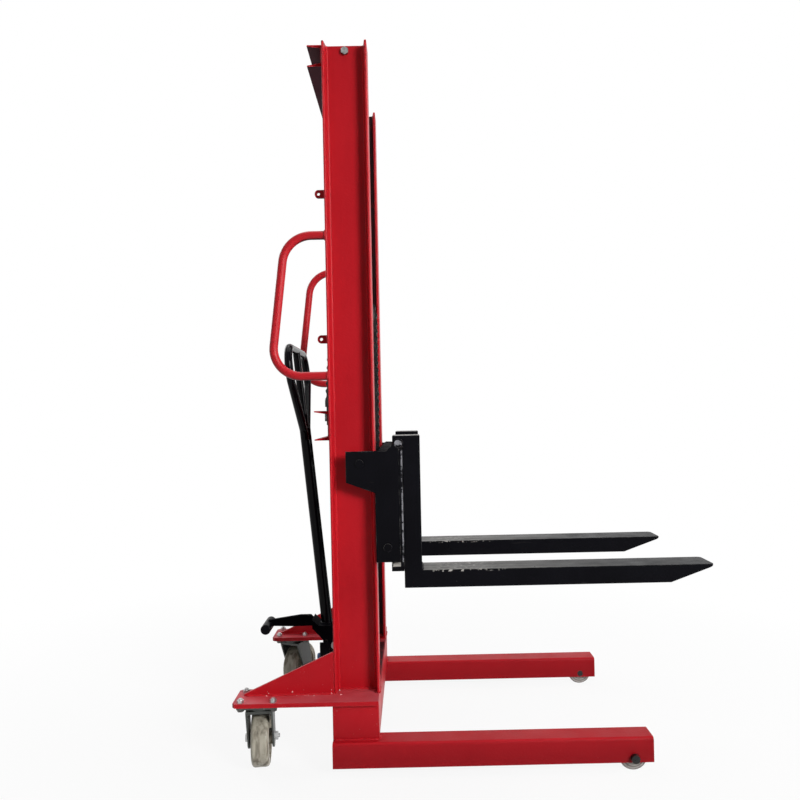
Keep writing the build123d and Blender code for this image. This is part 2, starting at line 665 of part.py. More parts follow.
for side, sign in SIDES:
    yaw = math.radians(CASTER_YAW[side])
    trail_dir = (math.cos(yaw), math.sin(yaw), 0)
    axle_dir = Vector(-math.sin(yaw), math.cos(yaw), 0)
    swivel = Plane(origin=(caster_x, sign * caster_y, 0), x_dir=trail_dir, z_dir=(0, 0, 1))
    wheel_centre = swivel.from_local_coords(Vector(TRAIL, 0, axle_z))
    cheek_plane = Plane(origin=swivel.origin, x_dir=trail_dir, z_dir=axle_dir * -1)

    with BuildPart() as caster_yoke:
        with BuildSketch(swivel.offset(crown_low)):
            with Locations(((CROWN_FRONT - CROWN_BACK) / 2, 0)):
                Rectangle(CROWN_FRONT + CROWN_BACK, 2 * yoke_outer)
        extrude(amount=CROWN_T)
        for end in (-1, 1):
            cheek_face = yoke_outer if end > 0 else -yoke_inner
            with BuildSketch(cheek_plane.offset(-cheek_face)) as cheek:
                Polygon(
                    (-CROWN_BACK, crown_low),
                    (CROWN_FRONT, crown_low),
                    (TRAIL + YOKE_BOSS_R, axle_z),
                    (TRAIL - YOKE_BOSS_R, axle_z),
                    align=None,
                )
                with Locations((TRAIL, axle_z)):
                    Circle(YOKE_BOSS_R)
                    Circle(M12_R, mode=Mode.SUBTRACT)
            extrude(amount=YOKE_T)
        with BuildSketch(swivel.offset(crown_low)):
            Circle(KINGPIN_D / 2 + RUN_CLEARANCE)
        extrude(amount=CROWN_T, mode=Mode.SUBTRACT)
    keep(caster_yoke, f"caster_yoke_{side}")

    with BuildPart() as caster_axle:
        add(hex_bolt(wheel_centre + axle_dir * yoke_outer, axle_dir, M12_R, 2 * yoke_outer, nut=True))
    keep(caster_axle, f"caster_axle_{side}")

    with BuildPart() as caster_wheel:
        with BuildSketch(Plane(origin=wheel_centre - axle_dir * (WHEEL_WIDTH / 2), z_dir=axle_dir)):
            Circle(WHEEL_D / 2)
        extrude(amount=WHEEL_WIDTH)
        fillet(caster_wheel.edges().filter_by(GeomType.CIRCLE), radius=WHEEL_EDGE_R)
        for end in (-1, 1):
            wheel_face = wheel_centre + axle_dir * (end * WHEEL_WIDTH / 2)
            with BuildSketch(Plane(origin=wheel_face, z_dir=axle_dir * -end)):
                Circle(WHEEL_RIM_D / 2)
                Circle(HUB_D / 2, mode=Mode.SUBTRACT)
            extrude(amount=WEB_RECESS, mode=Mode.SUBTRACT)
        hub_low = wheel_centre - axle_dir * (HUB_WIDTH / 2)
        hub_high = wheel_centre + axle_dir * (HUB_WIDTH / 2)
        add(round_bar(hub_low, hub_high, HUB_D / 2))
        add(round_bar(hub_low, hub_high, M12_R + RUN_CLEARANCE), mode=Mode.SUBTRACT)
    keep(caster_wheel, f"caster_wheel_{side}")

# Lift cylinder: closed tube in the beam pocket, gland on top, and a square foot on the beam with the
# short pressure pipe from the pump
tube_low = beam_low + BEAM_WALL
gland_top = CYLINDER_TOP + GLAND_CAP
bore_r = CYLINDER_D / 2 - CYLINDER_WALL
with BuildPart() as cylinder_tube:
    add(round_bar((cylinder_x, 0, tube_low), (cylinder_x, 0, CYLINDER_TOP), CYLINDER_D / 2))
    bore_low = (cylinder_x, 0, tube_low + CYLINDER_FLOOR_T)
    add(round_bar(bore_low, (cylinder_x, 0, CYLINDER_TOP), bore_r), mode=Mode.SUBTRACT)
keep(cylinder_tube, "cylinder_tube")

with BuildPart() as cylinder_gland:
    skirt_low = (cylinder_x, 0, CYLINDER_TOP - GLAND_SKIRT)
    cap_low = (cylinder_x, 0, CYLINDER_TOP)
    add(round_bar(skirt_low, cap_low, GLAND_D / 2, CYLINDER_D / 2))
    add(round_bar(cap_low, (cylinder_x, 0, gland_top), GLAND_D / 2, PLUNGER_D / 2 + RUN_CLEARANCE))
keep(cylinder_gland, "cylinder_gland")

with BuildPart() as cylinder_foot:
    with BuildSketch(Plane.XY.offset(beam_top)):
        with Locations((cylinder_x, 0)):
            Rectangle(FOOT_SIZE, FOOT_SIZE)
            with Locations(*foot_bolt_places):
                Circle(M10_R, mode=Mode.SUBTRACT)
            Circle(CYLINDER_D / 2, mode=Mode.SUBTRACT)
    extrude(amount=FOOT_T)
    with BuildSketch(Plane.XY.offset(beam_top + FOOT_T)):
        with Locations((cylinder_x, 0)):
            RectangleRounded(FOOT_BOSS, FOOT_BOSS, FOOT_T)
            with Locations(*foot_bolt_places):
                Circle(2.2 * M10_R, mode=Mode.SUBTRACT)
            Circle(CYLINDER_D / 2, mode=Mode.SUBTRACT)
    extrude(amount=FOOT_BOSS_H)
    add(round_bar((mast_rear, 0, PIPE_Z), (cylinder_x - FOOT_BOSS / 2, 0, PIPE_Z), PIPE_D / 2))
keep(cylinder_foot, "cylinder_foot")

# Plunger: rod with its piston, and the yoke that carries the sheave
rod_low = tube_low + CYLINDER_FLOOR_T + LIFT_DOWN + PISTON_FLOOR_GAP
sheave_half = CHAIN_WIDTH / 2 + CHAIN_SIDE_PLAY + SHEAVE_FLANGE_T
yoke_block_top = SHEAVE_Z - SHEAVE_FLANGE_R - SHEAVE_BLOCK_GAP
yoke_block_low = yoke_block_top - YOKE_BLOCK_T
cheek_y = sheave_half + SHEAVE_SIDE_GAP
with BuildPart() as plunger_rod:
    add(round_bar((cylinder_x, 0, rod_low), (cylinder_x, 0, yoke_block_low), PLUNGER_D / 2))
    piston_high = (cylinder_x, 0, rod_low + PISTON_LENGTH)
    add(round_bar((cylinder_x, 0, rod_low), piston_high, bore_r - RUN_CLEARANCE))
keep(plunger_rod, "plunger_rod")

with BuildPart() as sheave_yoke:
    block_x = (cylinder_x - YOKE_BLOCK_X / 2, cylinder_x + YOKE_BLOCK_X / 2)
    yoke_y = cheek_y + CHEEK_T
    add(block(block_x, (-yoke_y, yoke_y), (yoke_block_low, yoke_block_top)))
    for face in (yoke_y, -cheek_y):
        with BuildSketch(side_plane(face)):
            with Locations((cylinder_x, (yoke_block_low + SHEAVE_Z) / 2)):
                Rectangle(YOKE_BLOCK_X, SHEAVE_Z - yoke_block_low)
            with Locations((cylinder_x, SHEAVE_Z)):
                Circle(CHEEK_R)
                Circle(SHEAVE_PIN_D / 2, mode=Mode.SUBTRACT)
        extrude(amount=CHEEK_T)
keep(sheave_yoke, "sheave_yoke")

with BuildPart() as sheave_pin:
    pin_half = cheek_y + CHEEK_T + SHEAVE_PIN_OVERHANG
    add(round_bar((cylinder_x, -pin_half, SHEAVE_Z), (cylinder_x, pin_half, SHEAVE_Z), SHEAVE_PIN_D / 2))
keep(sheave_pin, "sheave_pin")

with BuildPart() as chain_sheave:
    sheave_low = (cylinder_x, -sheave_half, SHEAVE_Z)
    sheave_high = (cylinder_x, sheave_half, SHEAVE_Z)
    add(round_bar(sheave_low, sheave_high, SHEAVE_FLANGE_R))
    groove_r = SHEAVE_PITCH_R - CHAIN_PLATE_H / 2 - PLAY
    groove_half = sheave_half - SHEAVE_FLANGE_T
    groove_low = (cylinder_x, -groove_half, SHEAVE_Z)
    groove_high = (cylinder_x, groove_half, SHEAVE_Z)
    add(round_bar(groove_low, groove_high, SHEAVE_FLANGE_R, groove_r), mode=Mode.SUBTRACT)
    add(round_bar(sheave_low, sheave_high, SHEAVE_PIN_D / 2 + RUN_CLEARANCE), mode=Mode.SUBTRACT)
keep(chain_sheave, "chain_sheave")

# Lift chain: front run from the carriage, wrap over the sheave, rear run to the anchor
bracket_top = CHAIN_BRACKET_LOW + CHAIN_BRACKET_H


def chain_run(low_end, high_end):
    """Straight run of chain between two points in X and Z: a lobe at every pin, level ends."""
    (x_low, z_low), (x_high, z_high) = low_end, high_end
    lean = (x_high - x_low) / (z_high - z_low)
    drops = [(n + 0.5) * CHAIN_PITCH for n in range(math.ceil((z_high - z_low) / CHAIN_PITCH))]

    def band(half):
        return (x_low - half, z_low), (x_low + half, z_low), (x_high + half, z_high), (x_high - half, z_high)

    with BuildPart() as piece:
        with BuildSketch(side_plane(CHAIN_WIDTH / 2)):
            Polygon(*band(CHAIN_WAIST / 2), align=None)
            with Locations(*[(x_high - lean * drop, z_high - drop) for drop in drops]):
                Circle(CHAIN_PLATE_H / 2)
            Polygon(*band(CHAIN_PLATE_H), align=None, mode=Mode.INTERSECT)
        extrude(amount=CHAIN_WIDTH)
    return piece


keep(chain_run((CHAIN_FRONT_X, bracket_top), (CHAIN_FRONT_X, SHEAVE_Z)), "chain_front_run")
keep(chain_run((anchor_x, clevis_top), (chain_rear_x, SHEAVE_Z)), "chain_rear_run")

with BuildPart() as chain_wrap:
    link_angle = math.degrees(CHAIN_PITCH / SHEAVE_PITCH_R)
    wrap_pins = math.ceil(180 / link_angle)
    with BuildSketch(side_plane(CHAIN_WIDTH / 2)):
        with Locations((cylinder_x, SHEAVE_Z)):
            Circle(SHEAVE_PITCH_R + CHAIN_WAIST / 2)
            Circle(SHEAVE_PITCH_R - CHAIN_WAIST / 2, mode=Mode.SUBTRACT)
            with PolarLocations(SHEAVE_PITCH_R, wrap_pins, link_angle / 2, 180, endpoint=False):
                Circle(CHAIN_PLATE_H / 2)
        wrap_outer = SHEAVE_PITCH_R + CHAIN_PLATE_H
        with Locations((cylinder_x, SHEAVE_Z + wrap_outer / 2)):
            Rectangle(2 * wrap_outer, wrap_outer, mode=Mode.INTERSECT)
    extrude(amount=CHAIN_WIDTH)
keep(chain_wrap, "chain_wrap")

# Carriage side plates: hook-shaped, outside the mast, with an eye for the upper fork bar
roller_places = {"upper": (upper_roller_x, UPPER_ROLLER_Z), "lower": (lower_roller_x, LOWER_ROLLER_Z)}
carriage_outer_y = carriage_y + CARRIAGE_PLATE_T
plate_points = (
    (-HOOK_REAR, CARRIAGE_TOP),
    (-HOOK_REAR, HOOK_BOTTOM_REAR),
    (carriage_step_x, HOOK_BOTTOM_FRONT),
    (carriage_step_x, CARRIAGE_BOTTOM),
    (CARRIAGE_FRONT, CARRIAGE_BOTTOM),
    (CARRIAGE_FRONT, UPPER_BAR_Z),
    (upper_bar_x - BAR_EYE_R, UPPER_BAR_Z),
    (upper_bar_x - BAR_EYE_R - (UPPER_BAR_Z - CARRIAGE_TOP), CARRIAGE_TOP),
)
for side, sign in SIDES:
    with BuildPart() as carriage_plate:
        with BuildSketch(side_plane(max(sign * carriage_y, sign * carriage_outer_y))):
            Polygon(*plate_points, align=None)
            with Locations((upper_bar_x, UPPER_BAR_Z)):
                Circle(BAR_EYE_R)
                Circle(UPPER_BAR_D / 2, mode=Mode.SUBTRACT)
            with Locations(*roller_places.values()):
                Circle(ROLLER_NECK_D / 2, mode=Mode.SUBTRACT)
        extrude(amount=CARRIAGE_PLATE_T)
    keep(carriage_plate, f"carriage_plate_{side}")

# Carriage straps in front of the side plates, narrowed below to pass between the legs
strap_top = UPPER_BAR_Z - UPPER_BAR_D / 2 - STRAP_TOP_GAP
lower_bar_low = LOWER_BAR_Z - LOWER_BAR / 2
strap_inner_y = carriage_outer_y - STRAP_WIDTH
with BuildPart() as carriage_straps:
    for side, sign in SIDES:
        with BuildSketch(Plane.YZ.offset(CARRIAGE_FRONT)):
            Polygon(
                (sign * strap_inner_y, strap_top),
                (sign * carriage_outer_y, strap_top),
                (sign * carriage_outer_y, CARRIAGE_BOTTOM),
                (sign * lower_bar_half, CARRIAGE_BOTTOM),
                (sign * lower_bar_half, lower_bar_low),
                (sign * strap_inner_y, lower_bar_low),
                align=None,
            )
        extrude(amount=STRAP_T)
keep(carriage_straps, "carriage_straps")

# Cross members: upper bar between the side plates, middle bar between the straps, and the brackets
# that hold the chain end and the middle of the upper fork bar
crossbar_upper_front = CROSSBAR_UPPER_X + CROSSBAR_DEPTH
with BuildPart() as carriage_crossbars:
    upper_x = (CROSSBAR_UPPER_X, crossbar_upper_front)
    upper_z = (CARRIAGE_TOP - CROSSBAR_HEIGHT, CARRIAGE_TOP)
    add(block(upper_x, (-carriage_y, carriage_y), upper_z))
    mid_x = (CARRIAGE_FRONT - CROSSBAR_DEPTH, CARRIAGE_FRONT)
    add(block(mid_x, (-lower_bar_half, lower_bar_half), (CROSSBAR_MID_Z, CROSSBAR_MID_Z + CROSSBAR_MID_H)))
    chain_x = (CHAIN_FRONT_X - CHAIN_PLATE_H / 2, CARRIAGE_FRONT - CROSSBAR_DEPTH)
    chain_y = (-CHAIN_BRACKET_WIDTH / 2, CHAIN_BRACKET_WIDTH / 2)
    add(block(chain_x, chain_y, (CHAIN_BRACKET_LOW, bracket_top)))
    with BuildSketch(side_plane(BAR_BRACKET_T / 2)):
        Polygon(
            (crossbar_upper_front, CARRIAGE_TOP - CROSSBAR_HEIGHT),
            (crossbar_upper_front, CARRIAGE_TOP),
            (upper_bar_x - BAR_EYE_R, UPPER_BAR_Z),
            (upper_bar_x, UPPER_BAR_Z),
            (upper_bar_x, CARRIAGE_TOP - CROSSBAR_HEIGHT),
            align=None,
        )
        with Locations((upper_bar_x, UPPER_BAR_Z)):
            Circle(BAR_EYE_R)
            Circle(UPPER_BAR_D / 2, mode=Mode.SUBTRACT)
    extrude(amount=BAR_BRACKET_T)
keep(carriage_crossbars, "carriage_crossbars")

with BuildPart() as upper_fork_bar:
    bar_ends = [(upper_bar_x, sign * carriage_outer_y, UPPER_BAR_Z) for side, sign in SIDES]
    add(round_bar(*bar_ends, UPPER_BAR_D / 2))
keep(upper_fork_bar, "upper_fork_bar")

with BuildPart() as lower_fork_bar:
    lower_x = (CARRIAGE_FRONT - LOWER_BAR, CARRIAGE_FRONT)
    add(block(lower_x, (-lower_bar_half, lower_bar_half), (lower_bar_low, lower_bar_low + LOWER_BAR)))
keep(lower_fork_bar, "lower_fork_bar")

# Mast rollers on shafts in the side plates: the upper pair runs behind the front flange, the lower
# pair on its front face
roller_outer_y = carriage_y - MAST_ROLLER_PLAY
roller_inner_y = roller_outer_y - MAST_ROLLER_WIDTH
with BuildPart() as roller_shafts:
    for side, sign in SIDES:
        for x, z in roller_places.values():
            shaft_end = (x, sign * (roller_inner_y - SHAFT_OVERHANG), z)
            plate_inside = (x, sign * carriage_y, z)
            plate_outside = (x, sign * carriage_outer_y, z)
            cap_end = (x, sign * (carriage_outer_y + ROLLER_CAP_T), z)
            add(round_bar(shaft_end, plate_inside, ROLLER_SHAFT_D / 2))
            add(round_bar(plate_inside, plate_outside, ROLLER_NECK_D / 2))
            add(round_bar(plate_outside, cap_end, ROLLER_CAP_D / 2))
            collar_start = (x, sign * (roller_outer_y + PLAY), z)
            add(round_bar(collar_start, plate_inside, SHAFT_COLLAR_D / 2))
keep(roller_shafts, "roller_shafts")

for level, (x, z) in roller_places.items():
    for side, sign in SIDES:
        with BuildPart() as mast_roller:
            inner_face = (x, sign * roller_inner_y, z)
            outer_face = (x, sign * roller_outer_y, z)
            add(round_bar(inner_face, outer_face, MAST_ROLLER_D / 2))
            chamfer(mast_roller.edges().filter_by(GeomType.CIRCLE), length=ROLLER_CHAMFER / 2)
            add(round_bar(inner_face, outer_face, ROLLER_SHAFT_D / 2 + RUN_CLEARANCE), mode=Mode.SUBTRACT)
        keep(mast_roller, f"mast_roller_{level}_{side}")

# Forks: folded channel blades with a bevelled tip, a channel shank and a hook over the upper bar
hook_low = UPPER_BAR_Z + UPPER_BAR_D / 2 + PLAY
hook_top = hook_low + HOOK_T
lip_front = upper_bar_x - UPPER_BAR_D / 2 - PLAY
fork_points = (
    (shank_back, fork_low),
    (shank_back, hook_low),
    (lip_front, hook_low),
    (lip_front, hook_low - HOOK_LIP_DROP),
    (lip_front - HOOK_LIP_T, hook_low - HOOK_LIP_DROP),
    (lip_front - HOOK_LIP_T, hook_top),
    (shank_front, hook_top),
    (shank_front, FORK_TOP),
    (fork_tip, FORK_TOP),
    (fork_tip, FORK_TOP - TIP_EDGE),
    (fork_tip - TIP_BEVEL, fork_low),
)
bevel_rise = (BLADE_T - TIP_EDGE) / TIP_BEVEL
hollow_end_low = fork_tip - TIP_BEVEL
hollow_end_top = fork_tip - TIP_BEVEL + (BLADE_T - 2 * FORK_PLATE_T) / bevel_rise - FORK_PLATE_T
blade_hollow = (
    (shank_front, fork_low),
    (shank_front, FORK_TOP - FORK_PLATE_T),
    (hollow_end_top, FORK_TOP - FORK_PLATE_T),
    (hollow_end_low - FORK_PLATE_T, fork_low),
)
hollow_half = FORK_WIDTH / 2 - FORK_PLATE_T
for side, sign in SIDES:
    centre = sign * fork_y
    with BuildPart() as fork:
        add(side_slab(fork_points, centre - FORK_WIDTH / 2, centre + FORK_WIDTH / 2))
        tip_edges = fork.edges().filter_by(Axis.Z).group_by(Axis.X)[-1]
        fillet(tip_edges, radius=TIP_CORNER_R)
        add(side_slab(blade_hollow, centre - hollow_half, centre + hollow_half), mode=Mode.SUBTRACT)
        shank_x = (shank_back, shank_front - FORK_PLATE_T)
        shank_y = (centre - hollow_half, centre + hollow_half)
        shank_z = (fork_low + FORK_PLATE_T, hook_low - FORK_PLATE_T)
        add(block(shank_x, shank_y, shank_z), mode=Mode.SUBTRACT)
    keep(fork, f"fork_{side}")

# Pump body: block bolted to the crossbeam, with side walls, the pivot ear and the bores for piston and knob
pump_half = PUMP_WIDTH / 2
piston_bore_r = PUMP_PISTON_D / 2 + RUN_CLEARANCE
with BuildPart() as pump_body:
    add(block((pump_back, mast_rear), (-pump_half, pump_half), (PUMP_LOW, PUMP_TOP)))
    wall_x = (pump_back, pump_back + PUMP_WALL_DEPTH)
    for side, sign in SIDES:
        wall_y = sorted((sign * (pump_half - PUMP_WALL_T), sign * pump_half))
        add(block(wall_x, wall_y, (PUMP_TOP, PUMP_TOP + PUMP_WALL_HEIGHT)))
    back_edges = pump_body.edges().filter_by(Axis.Z).group_by(Axis.X)[0].group_by(Axis.Y)
    fillet(back_edges[0] + back_edges[-1], radius=PUMP_CORNER_R)
    flange_z = (pump_bolt_z - PUMP_FLANGE_H / 2, pump_bolt_z + PUMP_FLANGE_H / 2)
    flange_y = (-PUMP_FLANGE_WIDTH / 2, PUMP_FLANGE_WIDTH / 2)
    add(block((mast_rear - PUMP_FLANGE_T, mast_rear), flange_y, flange_z))
    with BuildSketch(side_plane(PUMP_EAR_WIDTH / 2)):
        with Locations((pivot_x, (PUMP_TOP + PIVOT_Z) / 2)):
            Rectangle(2 * PUMP_EAR_R, PIVOT_Z - PUMP_TOP)
        with Locations((pivot_x, PIVOT_Z)):
            Circle(PUMP_EAR_R)
            Circle(PIVOT_PIN_D / 2, mode=Mode.SUBTRACT)
    extrude(amount=PUMP_EAR_WIDTH)
    bore_bottom = (piston_x, 0, PUMP_LOW + PUMP_BORE_FLOOR)
    add(round_bar(bore_bottom, (piston_x, 0, PUMP_TOP), piston_bore_r), mode=Mode.SUBTRACT)
    stem_end = (pump_back + KNOB_STEM_LENGTH, 0, KNOB_Z)
    add(round_bar((pump_back, 0, KNOB_Z), stem_end, KNOB_STEM_D / 2 + RUN_CLEARANCE), mode=Mode.SUBTRACT)
    with BuildSketch(Plane.YZ.offset(mast_rear)):
        with Locations(*pump_bolt_places):
            Circle(M10_R)
    extrude(amount=-PUMP_FLANGE_T, mode=Mode.SUBTRACT)
keep(pump_body, "pump_body")

# Bolts of the frame: tie rod, cylinder foot and pump flange
with BuildPart() as frame_bolts:
    for side, sign in SIDES:
        tie_seat = (TIE_X, sign * (web_y + WEB_T / 2), tie_z)
        add(hex_bolt(tie_seat, (0, sign, 0), M12_R, WEB_T + TIE_BOLT_DEPTH - TIE_THREAD_GAP))
    for dx, dy in foot_bolt_places:
        foot_seat = (cylinder_x + dx, dy, beam_top + FOOT_T)
        add(hex_bolt(foot_seat, (0, 0, 1), M10_R, FOOT_T + BEAM_WALL))
    for y, z in pump_bolt_places:
        add(hex_bolt((mast_rear - PUMP_FLANGE_T, y, z), (-1, 0, 0), M10_R, PUMP_FLANGE_T + BEAM_WALL))
keep(frame_bolts, "frame_bolts")

# Pump piston under the rocker roller, and the release knob on the back of the pump
piston_top = rocker_roller_z - ROCKER_ROLLER_R - PISTON_TOP_GAP
with BuildPart() as pump_piston:
    piston_low = (piston_x, 0, piston_top - PUMP_PISTON_LENGTH)
    add(round_bar(piston_low, (piston_x, 0, piston_top), PUMP_PISTON_D / 2))
keep(pump_piston, "pump_piston")

with BuildPart() as release_knob:
    knob_face = pump_back - PLAY
    add(round_bar((knob_face - KNOB_LENGTH, 0, KNOB_Z), (knob_face, 0, KNOB_Z), KNOB_D / 2))
    fillet(release_knob.edges().filter_by(GeomType.CIRCLE).sort_by(Axis.X)[0], radius=KNOB_LENGTH / 3)
    stem_tip = pump_back + KNOB_STEM_LENGTH - PLAY
    add(round_bar((knob_face, 0, KNOB_Z), (stem_tip, 0, KNOB_Z), KNOB_STEM_D / 2))
keep(release_knob, "release_knob")

# Rocker: two cheeks on the pivot pin, joined above by the block that the tiller is let into; both fall away
# in a slope from the shoulder, where the pedal arm joins
cheek_inner = PUMP_EAR_WIDTH / 2 + ROCKER_CHEEK_GAP
cheek_outer = cheek_inner + ROCKER_CHEEK_T
rocker_back = pivot_x - ROCKER_BACK
rocker_block_low = ROCKER_TOP - ROCKER_BLOCK_H
lean = math.radians(TILLER_LEAN)
tiller_dir = Vector(-math.sin(lean), 0, math.cos(lean))
tiller_foot = Vector(TILLER_FOOT_X, 0, TILLER_FOOT_Z)
shoulder_z = ROCKER_TOP + ROCKER_SHOULDER_RISE
rocker_heel_z = rocker_block_low + ROCKER_HEEL_RISE
rocker_shoulder = [
    (rocker_back, rocker_heel_z),
    (rocker_back, shoulder_z),
    (rocker_back + ROCKER_SHOULDER_RUN, ROCKER_TOP),
    (pivot_x - ROCKER_FRONT, ROCKER_TOP),
]
with BuildPart() as rocker_pivot_pin:
    pin_reach = cheek_outer + PLAY
    add(round_bar((pivot_x, -pin_reach, PIVOT_Z), (pivot_x, pin_reach, PIVOT_Z), PIVOT_PIN_D / 2))
    for side, sign in SIDES:
        head_in = (pivot_x, sign * pin_reach, PIVOT_Z)
        head_out = (pivot_x, sign * (pin_reach + PIVOT_HEAD_T), PIVOT_Z)
        add(round_bar(head_in, head_out, PIVOT_HEAD_D / 2))
keep(rocker_pivot_pin, "rocker_pivot_pin")

with BuildPart() as rocker_yoke:
    for face in (cheek_outer, -cheek_inner):
        with BuildSketch(side_plane(face)):
            Polygon(
                *rocker_shoulder,
                (pivot_x + ROCKER_BOSS_R, PIVOT_Z),
                (pivot_x - ROCKER_BOSS_R, PIVOT_Z),
                (pivot_x - ROCKER_KNEE_BACK, PIVOT_Z + ROCKER_KNEE_RISE),
                align=None,
            )
            with Locations((pivot_x, PIVOT_Z)):
                Circle(ROCKER_BOSS_R)
                Circle(PIVOT_PIN_D / 2 + RUN_CLEARANCE, mode=Mode.SUBTRACT)
            with Locations((rocker_roller_x, rocker_roller_z)):
                Circle(ROCKER_ROLLER_R)
                Circle(M12_R, mode=Mode.SUBTRACT)
        extrude(amount=ROCKER_CHEEK_T)
    with BuildSketch(side_plane(cheek_outer)):
        Polygon(
            *rocker_shoulder,
            (pivot_x - ROCKER_FRONT, rocker_block_low),
            (rocker_back + ROCKER_HEEL_RISE, rocker_block_low),
            align=None,
        )
    extrude(amount=2 * cheek_outer)
    add(round_bar(tiller_foot, tiller_foot + tiller_dir * TILLER_D, TILLER_D / 2), mode=Mode.SUBTRACT)
keep(rocker_yoke, "rocker_yoke")

with BuildPart() as rocker_roller:
    pin_half = cheek_outer
    roller_half = ROCKER_ROLLER_WIDTH / 2
    pin_low = (rocker_roller_x, -pin_half, rocker_roller_z)
    roller_low = (rocker_roller_x, -roller_half, rocker_roller_z)
    add(round_bar(pin_low, (rocker_roller_x, pin_half, rocker_roller_z), M12_R))
    add(round_bar(roller_low, (rocker_roller_x, roller_half, rocker_roller_z), ROCKER_ROLLER_R))
keep(rocker_roller, "rocker_roller")

# Tiller tube with a closed end, and the handle loop: a bent tube that laps the sides of the tiller, with a
# middle bar from the tiller end to its top
tiller_plane = Plane(origin=tiller_foot, x_dir=(0, 1, 0), z_dir=(math.cos(lean), 0, math.sin(lean)))
tiller_top = tiller_foot + tiller_dir * TILLER_LENGTH
with BuildPart() as tiller_tube:
    add(round_bar(tiller_foot, tiller_top, TILLER_D / 2, TILLER_D / 2 - TILLER_WALL))
    add(round_bar(tiller_top - tiller_dir * (2 * TILLER_WALL), tiller_top, TILLER_D / 2))
keep(tiller_tube, "tiller_tube")

neck_x = (TILLER_D + LOOP_D) / 2 + PLAY
loop_base = TILLER_LENGTH - LOOP_LAP
loop_top = loop_base + LOOP_HEIGHT - LOOP_D / 2
with BuildPart() as handle_loop:
    with BuildLine(tiller_plane) as loop_path:
        FilletPolyline(
            (neck_x, loop_base),
            (neck_x, loop_base + LOOP_NECK),
            (LOOP_WIDTH / 2, loop_base + LOOP_SPREAD),
            (LOOP_WIDTH / 2, loop_top),
            (-LOOP_WIDTH / 2, loop_top),
            (-LOOP_WIDTH / 2, loop_base + LOOP_SPREAD),
            (-neck_x, loop_base + LOOP_NECK),
            (-neck_x, loop_base),
            radius=[LOOP_NECK_R, LOOP_BEND_R, LOOP_BEND_R, LOOP_BEND_R, LOOP_BEND_R, LOOP_NECK_R],
        )
    loop_start = Plane(origin=loop_path.line @ 0, z_dir=loop_path.line % 0)
    with BuildSketch(loop_start):
        Circle(LOOP_D / 2)
    sweep(path=loop_path.line)
    add(round_bar(tiller_top, tiller_foot + tiller_dir * loop_top, LOOP_BAR_D / 2))
    with BuildSketch(loop_start):
        Circle(LOOP_D / 2 - LOOP_WALL)
    sweep(path=loop_path.line, mode=Mode.SUBTRACT)
keep(handle_loop, "handle_loop")

# Pedal: flat arm behind the rocker block, with a round foot bar across its end
with BuildPart() as pedal_bar:
    pedal_ends = [(PEDAL_X, sign * PEDAL_LENGTH / 2, PEDAL_Z) for side, sign in SIDES]
    add(round_bar(*pedal_ends, PEDAL_D / 2))
    fillet(pedal_bar.edges().filter_by(GeomType.CIRCLE), radius=PEDAL_EDGE_R)
keep(pedal_bar, "pedal_bar")

with BuildPart() as pedal_arm:
    with BuildSketch(side_plane(PEDAL_ARM_T / 2)):
        Polygon(
            (PEDAL_X, PEDAL_Z + PEDAL_ARM_RISE - PEDAL_ARM_TIP_H / 2),
            (PEDAL_X, PEDAL_Z + PEDAL_ARM_RISE + PEDAL_ARM_TIP_H / 2),
            (rocker_back - PEDAL_ARM_FLAT, shoulder_z + PEDAL_ARM_DROP),
            (rocker_back - PEDAL_ARM_DROP, shoulder_z + PEDAL_ARM_DROP),
            (rocker_back, shoulder_z),
            (rocker_back, rocker_heel_z),
            (rocker_back - PEDAL_ARM_HEEL, shoulder_z + PEDAL_ARM_DROP - PEDAL_ARM_ROOT_H),
            align=None,
        )
        with Locations((PEDAL_X, PEDAL_Z)):
            Circle(PEDAL_D / 2, mode=Mode.SUBTRACT)
    extrude(amount=PEDAL_ARM_T)
keep(pedal_arm, "pedal_arm")
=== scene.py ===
import bpy
import json
import math
import numpy as np
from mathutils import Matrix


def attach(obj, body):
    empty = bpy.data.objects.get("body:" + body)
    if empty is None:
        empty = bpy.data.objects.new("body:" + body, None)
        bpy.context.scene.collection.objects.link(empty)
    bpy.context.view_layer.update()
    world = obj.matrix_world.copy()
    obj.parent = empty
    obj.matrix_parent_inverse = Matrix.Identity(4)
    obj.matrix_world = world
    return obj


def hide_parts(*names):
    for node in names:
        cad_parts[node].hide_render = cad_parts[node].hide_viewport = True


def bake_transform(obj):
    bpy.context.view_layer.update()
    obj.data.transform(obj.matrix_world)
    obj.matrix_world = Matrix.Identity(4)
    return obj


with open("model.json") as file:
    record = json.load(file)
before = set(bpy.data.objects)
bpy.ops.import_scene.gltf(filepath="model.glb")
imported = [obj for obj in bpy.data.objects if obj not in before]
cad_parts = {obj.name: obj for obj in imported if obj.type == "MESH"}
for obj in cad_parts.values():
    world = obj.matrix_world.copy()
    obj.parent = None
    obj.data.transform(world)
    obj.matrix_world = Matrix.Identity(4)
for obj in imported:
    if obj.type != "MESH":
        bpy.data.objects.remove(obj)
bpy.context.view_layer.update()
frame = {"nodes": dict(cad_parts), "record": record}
nodes = frame["nodes"]
print("frame loaded:", len(nodes), "CAD nodes")

